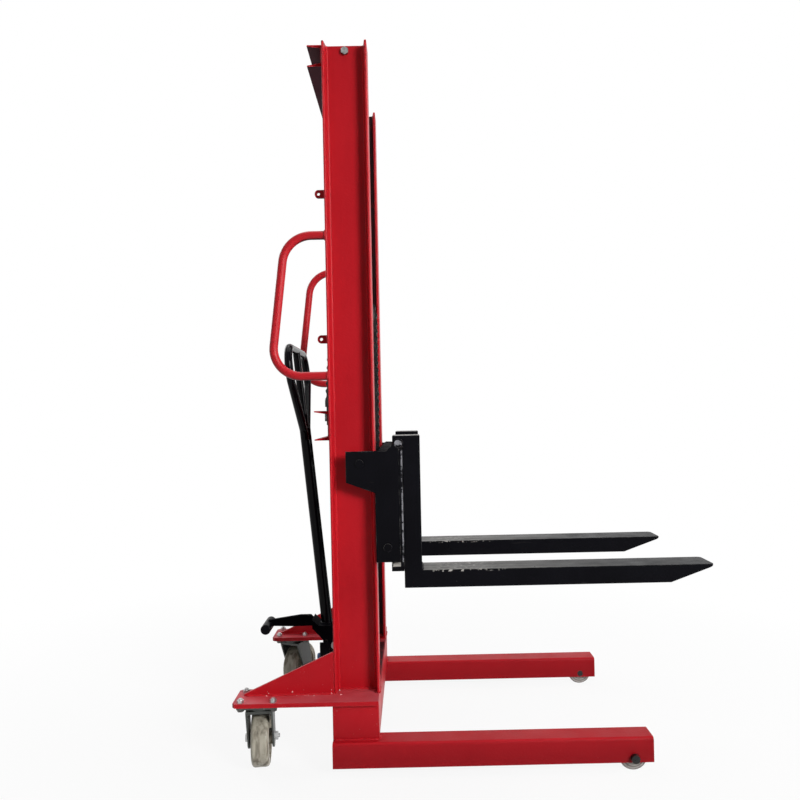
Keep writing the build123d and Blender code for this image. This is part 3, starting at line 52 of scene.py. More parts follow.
# camera: the photo's viewpoint, level with the middle of the mast and nearly square to the forks
photoCamera = {"place": (0.171, -2.353, 1.011), "turnDeg": (90.1, 1.18, -0.21), "lensMm": 32.35,
               "sensorMm": 36.0, "shift": (-0.0166, 0.0137), "farthest": 80.0}
camData = bpy.data.cameras.new("photoCamera")
camData.sensor_width = photoCamera["sensorMm"]
camData.lens = photoCamera["lensMm"]
camData.shift_x, camData.shift_y = photoCamera["shift"]
camData.clip_end = photoCamera["farthest"]
camObj = bpy.data.objects.new("photoCamera", camData)
camObj.location = photoCamera["place"]
camObj.rotation_euler = [math.radians(turn) for turn in photoCamera["turnDeg"]]
bpy.context.scene.collection.objects.link(camObj)
bpy.context.scene.camera = camObj
bpy.context.scene.view_settings.view_transform = "Standard"
print("camera set")


# material building blocks, all on Object coordinates
def startFinish(name):
    mat = bpy.data.materials.new(name)
    mat.use_nodes = True
    tree = mat.node_tree
    coords = tree.nodes.new("ShaderNodeTexCoord").outputs["Object"]
    return mat, tree, tree.nodes["Principled BSDF"], coords


def noiseFac(tree, coords, scale, detail, stretch=(1.0, 1.0, 1.0)):
    mapping = tree.nodes.new("ShaderNodeMapping")
    mapping.inputs["Scale"].default_value = stretch
    noise = tree.nodes.new("ShaderNodeTexNoise")
    noise.inputs["Scale"].default_value = scale
    noise.inputs["Detail"].default_value = detail
    tree.links.new(coords, mapping.inputs["Vector"])
    tree.links.new(mapping.outputs["Vector"], noise.inputs["Vector"])
    return noise.outputs["Fac"]


def rampFrom(tree, fac, stops):
    ramp = tree.nodes.new("ShaderNodeValToRGB")
    for element, (place, colour) in zip(ramp.color_ramp.elements, (stops[0], stops[-1])):
        element.position, element.color = place, (*colour, 1.0)
    for place, colour in stops[1:-1]:
        ramp.color_ramp.elements.new(place).color = (*colour, 1.0)
    tree.links.new(fac, ramp.inputs["Fac"])
    return ramp.outputs["Color"]


def spread(tree, fac, fromLow, fromHigh, toLow, toHigh):
    remap = tree.nodes.new("ShaderNodeMapRange")
    limits = {"From Min": fromLow, "From Max": fromHigh, "To Min": toLow, "To Max": toHigh}
    for socket, value in limits.items():
        remap.inputs[socket].default_value = value
    tree.links.new(fac, remap.inputs["Value"])
    return remap.outputs["Result"]


def product(tree, first, second):
    times = tree.nodes.new("ShaderNodeMath")
    times.operation = "MULTIPLY"
    tree.links.new(first, times.inputs[0])
    tree.links.new(second, times.inputs[1])
    return times.outputs["Value"]


def overlay(tree, fac, under, over):
    mix = tree.nodes.new("ShaderNodeMix")
    mix.data_type = "RGBA"
    tree.links.new(fac, mix.inputs["Factor"])
    for socket, colour in ((mix.inputs[6], under), (mix.inputs[7], over)):
        if isinstance(colour, tuple):
            socket.default_value = (*colour, 1.0)
        else:
            tree.links.new(colour, socket)
    return mix.outputs[2]


def bumpFrom(tree, shader, height, depth):
    bump = tree.nodes.new("ShaderNodeBump")
    bump.inputs["Distance"].default_value = depth
    bump.inputs["Strength"].default_value = 1.0
    tree.links.new(height, bump.inputs["Height"])
    tree.links.new(bump.outputs["Normal"], shader.inputs["Normal"])


# edge mask: how far the rounded normal leans from the true one, so 1 along corners and 0 on flats
def edgeFac(tree, radius, sharpness):
    rounded = tree.nodes.new("ShaderNodeBevel")
    rounded.samples = 4
    rounded.inputs["Radius"].default_value = radius
    geometry = tree.nodes.new("ShaderNodeNewGeometry")
    dot = tree.nodes.new("ShaderNodeVectorMath")
    dot.operation = "DOT_PRODUCT"
    tree.links.new(rounded.outputs["Normal"], dot.inputs[0])
    tree.links.new(geometry.outputs["Normal"], dot.inputs[1])
    return spread(tree, dot.outputs["Value"], 1.0, sharpness, 0.0, 1.0)


# noise cut into patches: nothing below the band, the full share above it
def patches(tree, coords, scale, detail, band, share=1.0, stretch=(1.0, 1.0, 1.0)):
    return spread(tree, noiseFac(tree, coords, scale, detail, stretch), *band, 0.0, share)


# one axis of the place on the object, remapped between two limits; mirrored reads the distance from
# the middle
def axisFac(tree, coords, axis, low, high, toLow=0.0, toHigh=1.0, mirrored=False):
    split = tree.nodes.new("ShaderNodeSeparateXYZ")
    tree.links.new(coords, split.inputs["Vector"])
    value = split.outputs[axis]
    if mirrored:
        size = tree.nodes.new("ShaderNodeMath")
        size.operation = "ABSOLUTE"
        tree.links.new(value, size.inputs[0])
        value = size.outputs["Value"]
    return spread(tree, value, low, high, toLow, toHigh)


# a factor kept only inside zones, each an axis with start and end; Y counts both ways from the middle
def inZones(tree, coords, fac, zones):
    for axis, low, high in zones:
        fac = product(tree, fac, axisFac(tree, coords, axis, low, high, mirrored=axis == "Y"))
    return fac


# upward lean of the surface, for dust and painted sheen on top, rubbed tops, and painted shade on low
# sides and underneath
def upFac(tree, low, high, share=1.0):
    split = tree.nodes.new("ShaderNodeSeparateXYZ")
    tree.links.new(tree.nodes.new("ShaderNodeNewGeometry").outputs["True Normal"], split.inputs["Vector"])
    return spread(tree, split.outputs["Z"], low, high, 0.0, share)


# in the paints below, Scale is a noise's size, Band the noise values a patch starts and ends at, Share
# how much it covers, Z a range of heights, Lean a range of upward tilts

# red enamel: three close reds in soft clouds, painted shade low down and underneath, painted highlight on
# edges, dust and painted sheen on top
redPaint = {"deep": (0.38, 0.005, 0.011), "mid": (0.47, 0.008, 0.015), "bright": (0.53, 0.011, 0.019),
            "edge": (0.85, 0.19, 0.21), "primer": (0.30, 0.24, 0.23), "dustAndSheen": (0.60, 0.125, 0.15),
            "speck": (0.62, 0.5, 0.46), "under": (0.022, 0.004, 0.012), "low": (0.24, 0.003, 0.007),
            "darkFilm": (0.016, 0.003, 0.004), "cloudScale": 2.6, "cloudStops": (0.25, 0.5, 0.78),
            "runScale": 26.0, "runStretch": (1.0, 1.0, 0.12), "runBand": (0.5, 0.8), "runShare": 0.3,
            "lowShadeZ": (0.05, 0.17), "paintedShadeShare": 0.75, "lowShadeLean": (0.9, 0.5), "edgeRadius": 0.0028,
            "edgeSharp": 0.86, "edgeHighlightZ": (0.4, 1.6), "edgeHighlightShare": (0.15, 0.8), "chipScale": 55.0,
            "chipBand": (0.62, 0.68), "chipZ": (0.25, 0.6), "chipShare": (1.0, 0.15), "dustScale": 9.0,
            "dustLean": (0.75, 0.97), "dustZ": (0.1, 0.21), "dustRise": (0.14, 1.0),
            "dustBand": (0.1, 0.7), "dustShare": 0.8, "speckScale": 260.0, "speckBand": (0.74, 0.78),
            "speckShare": 0.6, "speckFromZ": (0.1, 0.16), "speckRise": (0.1, 1.0),
            "speckToZ": (0.2, 0.34), "darkFilmScale": 30.0, "darkFilmBand": (0.25, 0.5),
            "darkFilmShare": (0.75, 0.97), "undersideShadeLean": (-0.7, -0.95), "undersideShadeShare": 0.93,
            "sheenScale": 14.0, "sheenBand": (0.2, 0.8), "rough": (0.32, 0.5), "peelScale": 190.0}


# inside the darkened zones a dark film covers the paint
def makeRedEnamel(name, shine=0.14, edgeWear=True, peel=0.0004, darkened=()):
    mat, tree, shader, coords = startFinish(name)
    cloud = noiseFac(tree, coords, redPaint["cloudScale"], 4.0)
    reds = redPaint["deep"], redPaint["mid"], redPaint["bright"]
    colour = rampFrom(tree, cloud, list(zip(redPaint["cloudStops"], reds)))
    runs = patches(tree, coords, redPaint["runScale"], 4.0, redPaint["runBand"], redPaint["runShare"],
                   redPaint["runStretch"])  # faint spray runs
    colour = overlay(tree, runs, colour, redPaint["deep"])
    paintedShade = axisFac(tree, coords, "Z", *redPaint["lowShadeZ"], redPaint["paintedShadeShare"], 0.0)
    paintedShade = product(tree, paintedShade, upFac(tree, *redPaint["lowShadeLean"]))  # painted shade: the sides darken towards the floor
    colour = overlay(tree, paintedShade, colour, redPaint["low"])
    if edgeWear:
        edges = edgeFac(tree, redPaint["edgeRadius"], redPaint["edgeSharp"])
        # painted highlight: the edges turn paler, more so higher up; the primer chips below are real wear
        edgeHighlightByHeight = axisFac(tree, coords, "Z", *redPaint["edgeHighlightZ"], *redPaint["edgeHighlightShare"])
        colour = overlay(tree, product(tree, edges, edgeHighlightByHeight), colour, redPaint["edge"])
        chips = patches(tree, coords, redPaint["chipScale"], 5.0, redPaint["chipBand"])
        knocked = axisFac(tree, coords, "Z", *redPaint["chipZ"], *redPaint["chipShare"])
        chips = product(tree, product(tree, chips, knocked), edges)
        colour = overlay(tree, chips, colour, redPaint["primer"])
    # dust on upward faces, together with a painted sheen that lightens the tops
    dustAndSheen = product(tree, upFac(tree, *redPaint["dustLean"]),
                   noiseFac(tree, coords, redPaint["dustScale"], 5.0))
    dustAndSheen = product(tree, dustAndSheen, axisFac(tree, coords, "Z", *redPaint["dustZ"], *redPaint["dustRise"]))
    dustAndSheen = spread(tree, dustAndSheen, *redPaint["dustBand"], 0.0, redPaint["dustShare"])
    colour = overlay(tree, dustAndSheen, colour, redPaint["dustAndSheen"])
    specks = patches(tree, coords, redPaint["speckScale"], 2.0, redPaint["speckBand"],
                     redPaint["speckShare"])
    nearWelds = product(tree, axisFac(tree, coords, "Z", *redPaint["speckFromZ"], *redPaint["speckRise"]),
                        axisFac(tree, coords, "Z", *redPaint["speckToZ"], 1.0, 0.0))
    colour = overlay(tree, product(tree, specks, nearWelds), colour, redPaint["speck"])
    if darkened:
        film = noiseFac(tree, coords, redPaint["darkFilmScale"], 5.0)
        film = spread(tree, film, *redPaint["darkFilmBand"], *redPaint["darkFilmShare"])
        colour = overlay(tree, inZones(tree, coords, film, darkened), colour, redPaint["darkFilm"])
    undersideShade = upFac(tree, *redPaint["undersideShadeLean"], redPaint["undersideShadeShare"])  # painted shade: downward faces darkened
    colour = overlay(tree, undersideShade, colour, redPaint["under"])
    tree.links.new(colour, shader.inputs["Base Color"])
    sheen = noiseFac(tree, coords, redPaint["sheenScale"], 4.0)
    sheen = spread(tree, sheen, *redPaint["sheenBand"], *redPaint["rough"])
    tree.links.new(sheen, shader.inputs["Roughness"])
    shader.inputs["Specular IOR Level"].default_value = shine
    bumpFrom(tree, shader, noiseFac(tree, coords, redPaint["peelScale"], 2.0), peel)  # orange peel
    return mat


# black enamel: near black in soft clouds, worn edges that are also a painted highlight, long scratches, a
# few pale specks
blackPaint = {"base": (0.0014, 0.0013, 0.0024), "grey": (0.0034, 0.0033, 0.0052),
              "edge": (0.15, 0.145, 0.14), "scuff": (0.04, 0.038, 0.037), "worn": (0.44, 0.42, 0.39),
              "speck": (0.2, 0.19, 0.18), "strapEnd": (0.24, 0.24, 0.26), "slidAndSheen": (0.34, 0.33, 0.31),
              "cloudScale": 6.0, "cloudStops": (0.3, 0.75), "edgeRadius": 0.0025, "edgeSharp": 0.86,
              "edgeScale": 34.0, "edgeBand": (0.46, 0.68), "edgeShare": 0.9, "scratchScale": 60.0,
              "scratchStretch": (0.12, 1.0, 1.0), "scratchBand": (0.7, 0.76), "scratchShare": 0.5,
              "speckScale": 210.0, "speckBand": (0.77, 0.81), "speckShare": 0.5, "slidLean": (0.9, 0.98),
              "slideScale": 40.0, "slideStretch": (0.06, 1.0, 1.0), "slideBand": (0.3, 0.7),
              "slideShare": (0.15, 0.6), "wornScale": 85.0, "sheenScale": 18.0, "sheenBand": (0.25, 0.8),
              "grainScale": 150.0}


# inside the worn zones the paint is rubbed to metal where a noise passes wornBand; rubbedAndSheenTop is
# where along X the upper faces are rubbed by sliding loads and paler towards one end, partly a painted
# sheen
def makeBlackEnamel(name, wornZones=(), wornBand=None, gloss=(0.26, 0.44), shine=0.05, grain=0.0005,
                    wornTone=blackPaint["worn"], rubbedAndSheenTop=None):
    mat, tree, shader, coords = startFinish(name)
    cloud = noiseFac(tree, coords, blackPaint["cloudScale"], 5.0)
    blacks = blackPaint["base"], blackPaint["grey"]
    colour = rampFrom(tree, cloud, list(zip(blackPaint["cloudStops"], blacks)))
    # worn edges, also a painted edge highlight
    edges = edgeFac(tree, blackPaint["edgeRadius"], blackPaint["edgeSharp"])
    worn = patches(tree, coords, blackPaint["edgeScale"], 5.0, blackPaint["edgeBand"],
                   blackPaint["edgeShare"])
    colour = overlay(tree, product(tree, worn, edges), colour, blackPaint["edge"])
    scratches = patches(tree, coords, blackPaint["scratchScale"], 6.0, blackPaint["scratchBand"],
                        blackPaint["scratchShare"], blackPaint["scratchStretch"])
    colour = overlay(tree, scratches, colour, blackPaint["scuff"])
    specks = patches(tree, coords, blackPaint["speckScale"], 2.0, blackPaint["speckBand"],
                     blackPaint["speckShare"])
    colour = overlay(tree, specks, colour, blackPaint["speck"])
    # rubbed by sliding loads, with a painted sheen that grows towards one end
    if rubbedAndSheenTop:
        slidAndSheen = product(tree, upFac(tree, *blackPaint["slidLean"]), axisFac(tree, coords, "X", *rubbedAndSheenTop))
        streaks = noiseFac(tree, coords, blackPaint["slideScale"], 5.0, blackPaint["slideStretch"])
        streaks = spread(tree, streaks, *blackPaint["slideBand"], *blackPaint["slideShare"])
        colour = overlay(tree, product(tree, slidAndSheen, streaks), colour, blackPaint["slidAndSheen"])
    if wornZones:
        rubbed = patches(tree, coords, blackPaint["wornScale"], 6.0, wornBand)
        colour = overlay(tree, inZones(tree, coords, rubbed, wornZones), colour, wornTone)
    tree.links.new(colour, shader.inputs["Base Color"])
    sheen = noiseFac(tree, coords, blackPaint["sheenScale"], 5.0)
    tree.links.new(spread(tree, sheen, *blackPaint["sheenBand"], *gloss), shader.inputs["Roughness"])
    shader.inputs["Specular IOR Level"].default_value = shine
    bumpFrom(tree, shader, noiseFac(tree, coords, blackPaint["grainScale"], 3.0), grain)
    return mat


# plated and bare metals: metallic base with cloudy colour, fine grain in roughness and bump
metalSkin = {"cloudSize": 0.3, "cloudStops": (0.3, 0.75), "paintedShade": (0.05, 0.048, 0.045),
             "paintedShadeShare": 0.9, "roughBand": (0.2, 0.8), "bump": 0.0002}


def makeMetal(name, dark, light, grain, roughLow, roughHigh, stretch=(1.0, 1.0, 1.0), metallic=1.0,
              shadeBelow=None):
    mat, tree, shader, coords = startFinish(name)
    cloud = noiseFac(tree, coords, grain * metalSkin["cloudSize"], 5.0)
    colour = rampFrom(tree, cloud, list(zip(metalSkin["cloudStops"], (dark, light))))
    # painted shade: darker below the given height
    if shadeBelow:
        paintedShade = axisFac(tree, coords, "Z", *shadeBelow, metalSkin["paintedShadeShare"], 0.0)
        colour = overlay(tree, paintedShade, colour, metalSkin["paintedShade"])
    tree.links.new(colour, shader.inputs["Base Color"])
    shader.inputs["Metallic"].default_value = metallic
    fine = noiseFac(tree, coords, grain, 4.0, stretch)
    rough = spread(tree, fine, *metalSkin["roughBand"], roughLow, roughHigh)
    tree.links.new(rough, shader.inputs["Roughness"])
    bumpFrom(tree, shader, fine, metalSkin["bump"])
    return mat


# moulded nylon and painted castings: two close tones, scuffs and a little edge wear
mouldedSkin = {"cloudSize": 0.25, "cloudStops": (0.3, 0.75), "scuffBand": (0.58, 0.7), "scuffShare": 0.55,
               "edgeRadius": 0.002, "edgeSharp": 0.85, "edgeShare": 0.35, "bumpSize": 4.0, "bump": 0.0003}


def makeMoulded(name, dark, light, mark, roughLow, roughHigh, grain=60.0):
    mat, tree, shader, coords = startFinish(name)
    cloud = noiseFac(tree, coords, grain * mouldedSkin["cloudSize"], 5.0)
    colour = rampFrom(tree, cloud, list(zip(mouldedSkin["cloudStops"], (dark, light))))
    scuff = patches(tree, coords, grain, 6.0, mouldedSkin["scuffBand"], mouldedSkin["scuffShare"])
    colour = overlay(tree, scuff, colour, mark)
    edges = edgeFac(tree, mouldedSkin["edgeRadius"], mouldedSkin["edgeSharp"])
    colour = overlay(tree, spread(tree, edges, 0.0, 1.0, 0.0, mouldedSkin["edgeShare"]), colour, light)
    tree.links.new(colour, shader.inputs["Base Color"])
    rough = spread(tree, scuff, 0.0, mouldedSkin["scuffShare"], roughLow, roughHigh)
    tree.links.new(rough, shader.inputs["Roughness"])
    bumpFrom(tree, shader, noiseFac(tree, coords, grain * mouldedSkin["bumpSize"], 3.0),
             mouldedSkin["bump"])
    return mat


# caster tyre: beige nylon with dirt in upright streaks
tyreNylon = {"dark": (0.34, 0.31, 0.245), "light": (0.50, 0.47, 0.385), "dirt": (0.10, 0.08, 0.055),
             "mark": (0.17, 0.14, 0.11), "cloudScale": 16.0, "cloudStops": (0.3, 0.75),
             "streakScale": 70.0, "streakStretch": (1.0, 1.0, 0.05), "streakBand": (0.46, 0.64),
             "streakShare": 0.8, "markScale": 120.0, "markBand": (0.6, 0.7), "markShare": 0.3,
             "rough": (0.42, 0.68), "grainScale": 240.0, "grain": 0.0003}


def makeTyre():
    mat, tree, shader, coords = startFinish("wheelNylon")
    cloud = noiseFac(tree, coords, tyreNylon["cloudScale"], 5.0)
    beiges = tyreNylon["dark"], tyreNylon["light"]
    tone = rampFrom(tree, cloud, list(zip(tyreNylon["cloudStops"], beiges)))
    streaks = patches(tree, coords, tyreNylon["streakScale"], 3.0, tyreNylon["streakBand"],
                      tyreNylon["streakShare"], tyreNylon["streakStretch"])
    tone = overlay(tree, streaks, tone, tyreNylon["dirt"])
    marks = patches(tree, coords, tyreNylon["markScale"], 6.0, tyreNylon["markBand"],
                    tyreNylon["markShare"])
    tone = overlay(tree, marks, tone, tyreNylon["mark"])
    tree.links.new(tone, shader.inputs["Base Color"])
    rough = spread(tree, streaks, 0.0, tyreNylon["streakShare"], *tyreNylon["rough"])
    tree.links.new(rough, shader.inputs["Roughness"])
    bumpFrom(tree, shader, noiseFac(tree, coords, tyreNylon["grainScale"], 3.0), tyreNylon["grain"])
    return mat


# load roller: turned nylon with rings round its axle, worn grey on the tread
rollerNylon = {"axle": (0.773, 0.0, 0.04), "groove": (0.19, 0.165, 0.15), "face": (0.33, 0.30, 0.28),
               "ridge": (0.46, 0.43, 0.41), "mark": (0.13, 0.11, 0.10), "ringScale": 42.0,
               "ringWobble": 0.6, "ringStops": (0.1, 0.6, 0.95), "ringDepth": 0.0004,
               "markScale": 90.0, "markBand": (0.55, 0.72), "markShare": 0.6, "rough": (0.38, 0.62)}


def makeRoller():
    mat, tree, shader, coords = startFinish("rollerNylon")
    centre = tree.nodes.new("ShaderNodeMapping")
    centre.inputs["Location"].default_value = [-place for place in rollerNylon["axle"]]
    rings = tree.nodes.new("ShaderNodeTexWave")
    rings.wave_type, rings.rings_direction = "RINGS", "Y"
    rings.inputs["Scale"].default_value = rollerNylon["ringScale"]
    rings.inputs["Distortion"].default_value = rollerNylon["ringWobble"]
    tree.links.new(coords, centre.inputs["Vector"])
    tree.links.new(centre.outputs["Vector"], rings.inputs["Vector"])
    greys = rollerNylon["groove"], rollerNylon["face"], rollerNylon["ridge"]
    tone = rampFrom(tree, rings.outputs["Fac"], list(zip(rollerNylon["ringStops"], greys)))
    marks = patches(tree, coords, rollerNylon["markScale"], 6.0, rollerNylon["markBand"],
                    rollerNylon["markShare"])
    tone = overlay(tree, marks, tone, rollerNylon["mark"])
    tree.links.new(tone, shader.inputs["Base Color"])
    rough = spread(tree, marks, 0.0, rollerNylon["markShare"], *rollerNylon["rough"])
    tree.links.new(rough, shader.inputs["Roughness"])
    bumpFrom(tree, shader, rings.outputs["Fac"], rollerNylon["ringDepth"])
    return mat


# one finish for each material slot: dark tone, light tone, grain or mark, then the roughness range
zincTones = ((0.37, 0.37, 0.37), (0.58, 0.58, 0.57))
finishes = {
    "red_paint": makeRedEnamel("redEnamel"),
    "black_paint": makeBlackEnamel("blackEnamel"),
    "caster_grey": makeMoulded("casterPaint", (0.026, 0.030, 0.027), (0.054, 0.059, 0.052),
                               (0.14, 0.14, 0.13), 0.38, 0.6),
    "zinc": makeMetal("zincPlate", *zincTones, 90.0, 0.28, 0.45),
    "bare_steel": makeMetal("bareSteel", (0.34, 0.34, 0.34), (0.56, 0.56, 0.55), 120.0, 0.22, 0.42,
                            stretch=(1.0, 0.1, 1.0)),
    "chain_steel": makeMetal("oiledChain", (0.008, 0.008, 0.009), (0.034, 0.033, 0.032), 140.0, 0.2, 0.42,
                             metallic=0.6),
    "wheel_nylon": makeTyre(),
    "roller_nylon": makeRoller(),
    "blue_plastic": makeMoulded("knobPlastic", (0.03, 0.12, 0.37), (0.045, 0.18, 0.50), (0.08, 0.24, 0.55),
                                0.22, 0.4),
}
slotOf = {entry["node"]: entry["material_slot"] for entry in frame["record"]["subparts"]}
# zones of wear and darkening, each an axis with start and end
forkWear = [("X", 0.21, 0.25), ("X", 0.46, 0.33), ("Z", 0.549, 0.552), ("Z", 0.5565, 0.555)]
rollerTrack = [("Y", 0.2515, 0.2505), ("X", 0.0558, 0.0552), ("X", -0.0558, -0.0552)]
betweenFeet = [("Y", 0.215, 0.205), ("X", 0.0625, 0.0605), ("Z", 0.192, 0.195)]
# nodes whose wear, painted shade or gloss differs from the rest of their slot
ownFinish = {
    "lower_fork_bar": makeBlackEnamel("wornBarEnds", [("Y", 0.2795, 0.2825), ("Z", 0.567, 0.569)],
                                      (0.36, 0.46)),
    "upper_fork_bar": makeBlackEnamel("wornTopBar", [("Y", 0.2985, 0.3)], (0.5, 0.58),
                                      wornTone=blackPaint["strapEnd"]),
    # a pale line along the straps' front edges
    "carriage_straps": makeBlackEnamel("paleStrapEdges", [("Y", 0.2985, 0.3), ("X", 0.1395, 0.1405)],
                                       (0.42, 0.54), wornTone=blackPaint["strapEnd"]),
    # fork tops: rubbed by loads, and paler towards the heel as a painted sheen
    "fork_right": makeBlackEnamel("wornForkHeels", forkWear, (0.54, 0.6), rubbedAndSheenTop=(0.75, 0.2)),
    "handle_loop": makeBlackEnamel("glossBlack", gloss=(0.1, 0.2), shine=0.075, grain=0.0002),
    "chain_sheave": makeMetal("greasySheave", (0.06, 0.058, 0.055), (0.17, 0.165, 0.16), 80.0, 0.3, 0.5),
    "frame_bolts": makeMetal("dullZinc", (0.12, 0.12, 0.12), (0.48, 0.48, 0.47), 300.0, 0.3, 0.5),
    # painted shade on the bolt ends under the base plate
    "caster_bolts": makeMetal("underPlateShadedZinc", *zincTones, 90.0, 0.28, 0.45, shadeBelow=(0.192, 0.2)),
    "rocker_yoke": makeBlackEnamel("mattBlack", gloss=(0.5, 0.7), shine=0.01),
    "mast_cross_channels": makeRedEnamel("redEnamelMatt", 0.02),
    "hand_bar_right": makeRedEnamel("redEnamelGloss", 0.24, edgeWear=False, peel=0.0001),
    # painted shade on the webs inside the uprights' channels, where the rollers run
    "mast_upright_right": makeRedEnamel("shadedTrack", darkened=rollerTrack),
    # a darker patch on the crossbeam's top between the uprights
    "base_crossbeam": makeRedEnamel("darkenedBeam", darkened=betweenFeet),
}
sameFinish = {"fork_left": "fork_right", "tiller_tube": "handle_loop", "pedal_arm": "rocker_yoke",
              "carriage_crossbars": "rocker_yoke", "hand_bar_left": "hand_bar_right",
              "mast_upright_left": "mast_upright_right"}
for nodeName, likeNode in sameFinish.items():
    ownFinish[nodeName] = ownFinish[likeNode]
for nodeName, nodeObj in nodes.items():
    nodeObj.data.materials.clear()
    nodeObj.data.materials.append(ownFinish.get(nodeName, finishes[slotOf[nodeName]]))
print("finishes made:", len(finishes), "for slots,", len(ownFinish), "nodes with their own")


# new pieces: whole arrays of vertices and faces go into one mesh at the origin, with its material slot
def addPiece(name, verts, faces, slotName, smooth=True, finish=None):
    mesh = bpy.data.meshes.new(name)
    places = np.asarray(verts, float).reshape(-1, 3).tolist()
    mesh.from_pydata(places, [], [list(map(int, face)) for face in faces])
    mesh.polygons.foreach_set("use_smooth", np.full(len(mesh.polygons), smooth))
    mesh.materials.append(finish or finishes[slotName])
    mesh.update()
    piece = bpy.data.objects.new(name, mesh)
    bpy.context.scene.collection.objects.link(piece)
    return piece


# quads of a grid of rings: ring i joins ring i+1 and each ring is closed round; a loop also joins its
# last ring to its first
def ringFaces(rings, around, loop=False):
    i, j = np.meshgrid(np.arange(rings if loop else rings - 1), np.arange(around), indexing="ij")
    here, ahead, beside = i * around, (i + 1) % rings * around, (j + 1) % around
    return np.stack([here + j, here + beside, ahead + beside, ahead + j], -1).reshape(-1, 4)


# many copies of one closed ring solid: verts is copies x rings x around x 3, ends closed with flat caps
def solidsFrom(verts):
    copies, rings, around = verts.shape[:3]
    shift = (np.arange(copies) * rings * around)[:, None, None]
    quads = (ringFaces(rings, around)[None] + shift).reshape(-1, 4)
    foot = (np.arange(around)[::-1][None] + shift[:, 0]).tolist()
    head = ((rings - 1) * around + np.arange(around)[None] + shift[:, 0]).tolist()
    return verts.reshape(-1, 3), quads.tolist() + foot + head


# lift chain: pins at even steps of arc length up the front run, over the sheave and down the rear run
chainPath = {"frontX": 0.058, "rearX": -0.079, "anchorX": -0.096, "sheaveZ": 1.33, "lowFront": 0.736,
             "lowRear": 1.056, "pitch": 0.0254, "firstPin": 0.006, "lastPin": 0.003}
chainLink = {"lobe": 0.0107, "waist": 0.0068, "plate": 0.0026, "outerY": 0.0108, "innerY": 0.0076,
             "round": 0.0006, "along": 17, "pinR": 0.0044, "pinEnd": 0.0112, "pinRound": 0.0008,
             "pinTaper": 0.7, "around": 12}
sheaveR = (chainPath["frontX"] - chainPath["rearX"]) / 2
upRun = chainPath["sheaveZ"] - chainPath["lowFront"]
overRun = math.pi * sheaveR


# place at arc length s: straight up, then round the sheave, then down a straight line that leans to
# the anchor
def chainAt(s):
    midX = (chainPath["frontX"] + chainPath["rearX"]) / 2
    turn = np.clip((s - upRun) / sheaveR, 0.0, math.pi)
    lean = (chainPath["anchorX"] - chainPath["rearX"]) / (chainPath["sheaveZ"] - chainPath["lowRear"])
    down = np.clip(s - upRun - overRun, 0.0, None) / math.hypot(1.0, lean)
    x = midX + sheaveR * np.cos(turn) + lean * down
    above = chainPath["sheaveZ"] + sheaveR * np.sin(turn) - down
    z = np.where(s < upRun, chainPath["lowFront"] + s, above)
    return np.stack([x, np.zeros_like(x), z], -1)


# link plate outline: half height is a circle past each pin and a parabola that dips to the waist
# between them
def plateOutline(inset):
    half, lobe = chainPath["pitch"] / 2, chainLink["lobe"] - inset
    waist = chainLink["waist"] - inset
    along = -np.cos(np.linspace(0.0, math.pi, chainLink["along"])) * (half + lobe)
    past = np.clip(np.abs(along) - half, 0.0, lobe)
    height = np.where(np.abs(along) > half, np.sqrt(np.clip(lobe**2 - past**2, 0.0, None)),
                      waist + (lobe - waist) * (along / half) ** 2)
    top = np.stack([along, height], -1)
    low = np.stack([along[-2:0:-1], -height[-2:0:-1]], -1)
    return np.concatenate([top, low])


# plates: the outline in four rings across the thickness, the outer two drawn in to round the edge
def chainPlates(centres, headings, sideY):
    t, drawn = chainLink["plate"] / 2, chainLink["round"]
    rings = [(-t, drawn), (-t + drawn, 0.0), (t - drawn, 0.0), (t, drawn)]
    outline = np.stack([plateOutline(inset) for _, inset in rings])
    lift = np.array([y for y, _ in rings])
    across = np.stack([-headings[:, 2], np.zeros(len(headings)), headings[:, 0]], -1)
    verts = (centres[:, None, None] + headings[:, None, None] * outline[None, ..., :1]
             + across[:, None, None] * outline[None, ..., 1:])
    verts[..., 1] += sideY[:, None, None] + lift[None, :, None]
    return verts


# pins: a circle carried along Y, drawn in at both ends
def chainPins(places):
    turn = np.linspace(0.0, 2 * math.pi, chainLink["around"], endpoint=False)
    end, wide, drawn = chainLink["pinEnd"], chainLink["pinR"], chainLink["pinRound"]
    thin = chainLink["pinTaper"] * wide
    rings = [(-end, thin), (-end + drawn, wide), (end - drawn, wide), (end, thin)]
    y, radius = np.array(rings).T[:, :, None]
    ring = np.stack([radius * np.cos(turn), y + 0.0 * turn, -radius * np.sin(turn)], -1)
    return places[:, None, None] + ring[None]


